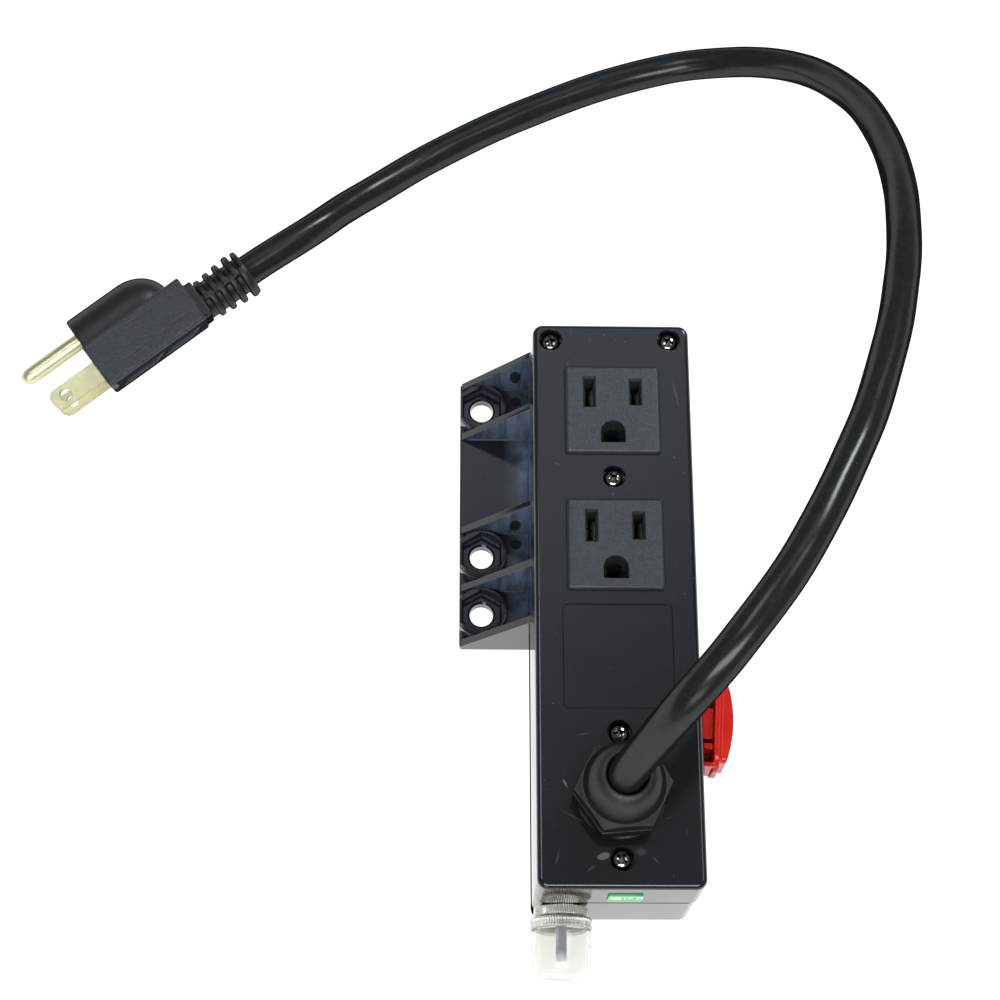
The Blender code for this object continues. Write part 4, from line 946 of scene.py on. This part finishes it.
# ============================ plug ================================================
def plug_cutters():
    """Every hollow in the plug, made afresh for each solid that it crosses."""
    made = [lathe("bore", [(0, -38.5), (5.0, -38.5), (5.0, -54), (0, -54)], 48, axis="X"),
            lathe("pin_pocket", [(0, -5.3), (2.65, -5.3), (2.65, 4), (0, 4)], 40,
                  base=(0, -11.9, 0), axis="X")]
    for w in (6.35, -6.35):
        made.append(rbox("blade_pocket", (-3.3, -3.4, w - 0.95), (3, 3.4, w + 0.95), corner=0.2,
                         seg=1))
    return made


def fuse(obj, *others):
    """Overlapping closed shells in one mesh; the voxel remesh that follows makes them one."""
    bm = bmesh.new()
    for piece in (obj, *others):
        bm.from_mesh(piece.data)
    bm.to_mesh(obj.data)
    bm.free()
    for other in others:
        bpy.data.objects.remove(other, do_unlink=True)
    return obj


plug = rbox("plug_shell", (-32.8, -8.0, -12.0), (1.0, 6.6, 12.0), corner=0.9, seg=3, low=0.5,
            high=0.7, rseg=3, axis="X")
for v in plug.data.vertices:                    # the narrow grip side leans in below
    if v.co.y > 0:
        v.co.y -= (0.012 - v.co.z) / 0.024 * 0.0020
cuts = []
# grip pockets on the narrow side, slanted ends, and the shallow step round them
for (x0, x1, z0, z1) in ((-2.6, -13.6, -5.6, 3.2), (-17.6, -26.4, -5.6, 3.2)):
    lean = 3.4
    quad = [(x0, z0), (x1, z0), (x1 - lean, z1), (x0 - lean, z1)]
    bm = bmesh.new()
    verts = [[bm.verts.new((x * MM, y * MM, z * MM)) for x, z in quad] for y in (4.3, 7.6)]
    for i in range(4):
        j = (i + 1) % 4
        bm.faces.new((verts[0][i], verts[0][j], verts[1][j], verts[1][i]))
    bm.faces.new(verts[0][::-1])
    bm.faces.new(verts[1])
    cuts.append(place("pocket", bm))
cuts.append(rbox("front_step", (-1.2, 5.5, -9.0), (2.0, 8.0, 9.0), corner=0.2, seg=1))
# faint parting lines on both broad faces, and a short cross mark
for z in (11.8, -11.8):
    for y0, y1 in ((-6.1, -4.6), (2.6, 2.1)):
        bm = bmesh.new()
        verts = [[bm.verts.new((x * MM, (y + d) * MM, (z + h) * MM)) for x, y, d in
                  ((0.6, y0, -0.17), (0.6, y0, 0.17), (-30.6, y1, 0.17), (-30.6, y1, -0.17))]
                 for h in ((0.0, 1.0) if z > 0 else (-1.0, 0.0))]
        for i in range(4):
            j = (i + 1) % 4
            bm.faces.new((verts[0][i], verts[0][j], verts[1][j], verts[1][i]))
        bm.faces.new(verts[0][::-1])
        bm.faces.new(verts[1])
        cuts.append(place("line", bm))
cuts.append(rbox("cross", (-11.2, -3.4, 11.7), (-10.85, 2.2, 13), corner=0.05, seg=1))
cut(plug, *plug_cutters(), *cuts)
hump_profile = [(0, 0.6), (8.9, 0.6), (9.4, 0.4), (9.6, 0.0)] + [
    (9.6 * math.cos(math.radians(a)), -17.5 - 11.3 * math.sin(math.radians(a)))
    for a in range(0, 90, 6)] + [(0, -28.8)]
hump = cut(lathe("hump", hump_profile, 72, base=(0, -9.0, 0), axis="X"), *plug_cutters())
rear = rbox("rear", (-35.2, -5.7, -9.5), (-30.0, 6.2, 9.5), corner=1.2, seg=3, low=0.6, rseg=3,
            axis="X")
for v in rear.data.vertices:
    if v.co.y > 0:
        v.co.y -= (0.012 - v.co.z) / 0.024 * 0.0020
cut(rear, *plug_cutters())
shells = [hump, rear,
          lathe("sleeve", [(5.0, -34.6), (5.35, -34.6), (5.35, -50.4), (5.0, -50.4)], 64, ring=True,
                axis="X"),
          cut(lathe("core", [(0, -33.5), (5.3, -33.5), (5.3, -39.4), (0, -39.4)], 64, axis="X"),
              *plug_cutters())]
for side, starts in ((-1, (-35.7, -39.1, -42.6, -46.3)), (1, (-37.2, -40.8, -44.6, -48.3))):
    for n, x in enumerate(starts):
        r = 6.45 + 0.34 * n
        rib = lathe("rib", [(4.9, x), (r - 0.55, x), (r - 0.15, x - 0.15), (r, x - 0.5),
                            (r, x - 1.35), (r - 0.15, x - 1.7), (r - 0.55, x - 1.9),
                            (4.9, x - 1.9)], 64, ring=True, axis="X")
        lo, hi = ((x - 3, -9, -9), (x + 1, 0.9, 9)) if side < 0 else ((x - 3, -0.9, -9), (x + 1, 9, 9))
        shells.append(keep(rib, rbox("half", lo, hi, corner=0.1, seg=1)))
shells.append(lathe("last_rib", [(4.95, -49.4), (6.9, -49.4), (7.15, -49.7), (7.1, -50.5),
                                 (6.8, -50.9), (4.95, -50.9)], 64, ring=True, axis="X"))
for z0, z1 in ((4.95, 6.1), (-6.1, -4.95)):
    shells.append(rbox("spine", (-49.8, -0.9, z0), (-33.5, 0.9, z1), corner=0.3, seg=2))
fuse(plug, *shells)
soften(plug, 0.24, 3, 0.5)
shift(plug, LIE)
finish_piece(plug, "plug_shell", "plug_black", "housing", "plug_body")
# the hump is smoother than the grained faces: paint its faces with their own slot
plug.data.materials.append(M["plug_smooth"])
inverse = LIE.inverted()
for poly in plug.data.polygons:
    c = inverse @ poly.center
    if c.y < -8.2 * MM or c.x < -33 * MM:
        poly.material_index = 1

for tag, w in (("line", 6.35), ("neutral", -6.35)):
    outline = [(-3.0, -3.175), (15.0, -3.175), (16.1, -2.7), (16.9, -1.7), (17.2, -0.5),
               (17.2, 0.5), (16.9, 1.7), (16.1, 2.7), (15.0, 3.175), (-3.0, 3.175)]

    def shrink(d):
        return [(u - (d if u > 0 else 0) * (1 if u > 14 else 0),
                 v - math.copysign(d, v)) for u, v in outline]
    blade = skin("blade", [(shrink(0.2), w - 0.75), (shrink(0), w - 0.55), (shrink(0), w + 0.55),
                           (shrink(0.2), w + 0.75)])
    cut(blade, lathe("eye", [(0, w - 2), (1.9, w - 2), (1.9, w - 0.7), (1.7, w - 0.5),
                             (1.7, w + 0.5), (1.9, w + 0.7), (1.9, w + 2), (0, w + 2)], 40,
                     base=(12.6, 0, 0)))
    shift(blade, LIE)
    tidy(blade, 30)
    finish_piece(blade, f"blade_{tag}", "blade_brass", "housing", f"plug_blade_{tag}")
pin = lathe("ground_pin", [(0, 20.4), (0.7, 20.36), (1.3, 20.1), (1.85, 19.5), (2.2, 18.7),
                           (2.36, 17.8), (2.4, 16.8), (2.4, -5.0), (0, -5.0)], 48,
            base=(0, -11.9, 0), axis="X")
shift(pin, LIE)
tidy(pin, 40, False)
finish_piece(pin, "ground_pin", "blade_brass", "housing", "plug_ground_pin")

# ============================ sticker =============================================
label = rbox("green_label", (-3.1, -79.40, 31.0), (5.9, -78.95, 38.8), corner=0.7, seg=4, axis="Y")
tidy(label, 30, False)
finish_piece(label, "green_label", "sticker_green", "housing", "inspection_sticker")

# ============================ pieces kept from the frame ===========================
KEPT = {"gland_locknut": "nylon_black", "gland_seal": "seal_rubber", "breaker_body": "nylon_black",
        "outlet_upper_back": "outlet_black", "outlet_lower_back": "outlet_black",
        "breaker_tab_line": "brass", "breaker_tab_load": "brass", "switch_tab_line": "brass",
        "switch_tab_load": "brass", "wire_line_in": "wire_black", "wire_breaker_switch": "wire_black",
        "wire_switch_line": "wire_black", "jumper_line": "wire_black", "wire_neutral": "wire_white",
        "jumper_neutral": "wire_white", "wire_ground": "wire_green", "jumper_ground": "wire_green"}
for name, mat in KEPT.items():
    node = NODES[name]
    node.data.materials.clear()
    node.data.materials.append(M[mat])

# ============================ stage, light, camera =================================
floor_mesh = bpy.data.meshes.new("floor")
floor_mesh.from_pydata([(-4, -4, -0.0004), (4, -4, -0.0004), (4, 4, -0.0004), (-4, 4, -0.0004)], [],
                       [(0, 1, 2, 3)])
floor = bpy.data.objects.new("floor", floor_mesh)
SCENE.objects.link(floor)
pale = Shade("floor_pale", 0.6)
pale.set(Base_Color=(0.28, 0.28, 0.28, 1), Emission_Color=(1, 1, 1, 1), Emission_Strength=1.03)
pale.bsdf.inputs["Specular IOR Level"].default_value = 0.0
floor_mesh.materials.append(pale.mat)

# a dim room with one broad soft glow high behind the object
world = bpy.data.worlds.new("studio")
bpy.context.scene.world = world
world.use_nodes = True
tree = world.node_tree
way = tree.nodes.new("ShaderNodeTexCoord").outputs["Generated"]
dot = tree.nodes.new("ShaderNodeVectorMath")
dot.operation = "DOT_PRODUCT"
dot.inputs[1].default_value = (0.0, 0.5, 0.866)
tree.links.new(way, dot.inputs[0])
span = tree.nodes.new("ShaderNodeMapRange")
for key, value in (("From Min", 0.80), ("From Max", 1.0), ("To Min", 0.0), ("To Max", 1.0)):
    span.inputs[key].default_value = value
tree.links.new(dot.outputs["Value"], span.inputs["Value"])
glow = tree.nodes.new("ShaderNodeValToRGB")
stops = ((0.0, 0.19), (0.65, 0.22), (0.735, 0.28), (0.86, 0.50), (0.925, 0.92), (0.965, 1.08), (1.0, 1.12))
ramp = glow.color_ramp
while len(ramp.elements) < len(stops):
    ramp.elements.new(0.5)
for slot, (at, level) in zip(ramp.elements, stops):
    slot.position = at
for slot, (at, level) in zip(ramp.elements, stops):
    slot.color = (0.905 * level / 1.2, 1.005 * level / 1.2, 1.11 * level / 1.2, 1.0)
tree.links.new(span.outputs["Result"], glow.inputs["Fac"])
back = tree.nodes["Background"]
back.inputs["Strength"].default_value = 1.2
tree.links.new(glow.outputs["Color"], back.inputs["Color"])


def softbox(name, at, aim, size, power, colour=(1, 1, 1)):
    data = bpy.data.lights.new(name, "AREA")
    data.shape = "RECTANGLE"
    data.size, data.size_y = size
    data.energy = power
    data.color = colour
    obj = bpy.data.objects.new(name, data)
    SCENE.objects.link(obj)
    obj.location = at
    obj.rotation_euler = (Vector(aim) - Vector(at)).to_track_quat("-Z", "Y").to_euler()
    obj.visible_camera = False
    return obj


softbox("left", (-0.40, 0.26, 1.15), (0.0, 0.03, 0.05), (0.34, 0.34), 1.7, (1.0, 0.995, 0.98))
softbox("right", (0.52, 0.16, 1.12), (0.0, 0.03, 0.05), (0.34, 0.34), 1.2, (1.0, 0.995, 0.98))
softbox("window", (0.47, 0.68, 0.81), (0.05, 0.03, 0.10), (0.24, 0.24), 5.0, (0.90, 0.96, 1.0))
softbox("top", (-0.05, -0.70, 1.05), (0.0, -0.05, 0.03), (0.90, 0.40), 11.0)
softbox("front", (-0.30, -1.15, 0.55), (0.0, -0.05, 0.03), (0.60, 0.30), 2.0)

cam_data = bpy.data.cameras.new("camera")
cam_data.sensor_width = 36.0
cam_data.lens = 77.74
cam_data.clip_start, cam_data.clip_end = 0.01, 20.0
camera = bpy.data.objects.new("camera", cam_data)
SCENE.objects.link(camera)
camera.location = (-0.045285, -0.182669, 0.590183)
camera.rotation_euler = [math.radians(a) for a in (20.9935, -1.4720, -0.1025)]
bpy.context.scene.camera = camera
bpy.context.scene.view_settings.view_transform = "Standard"
bpy.context.scene.view_settings.look = "None"

bpy.context.view_layer.update()
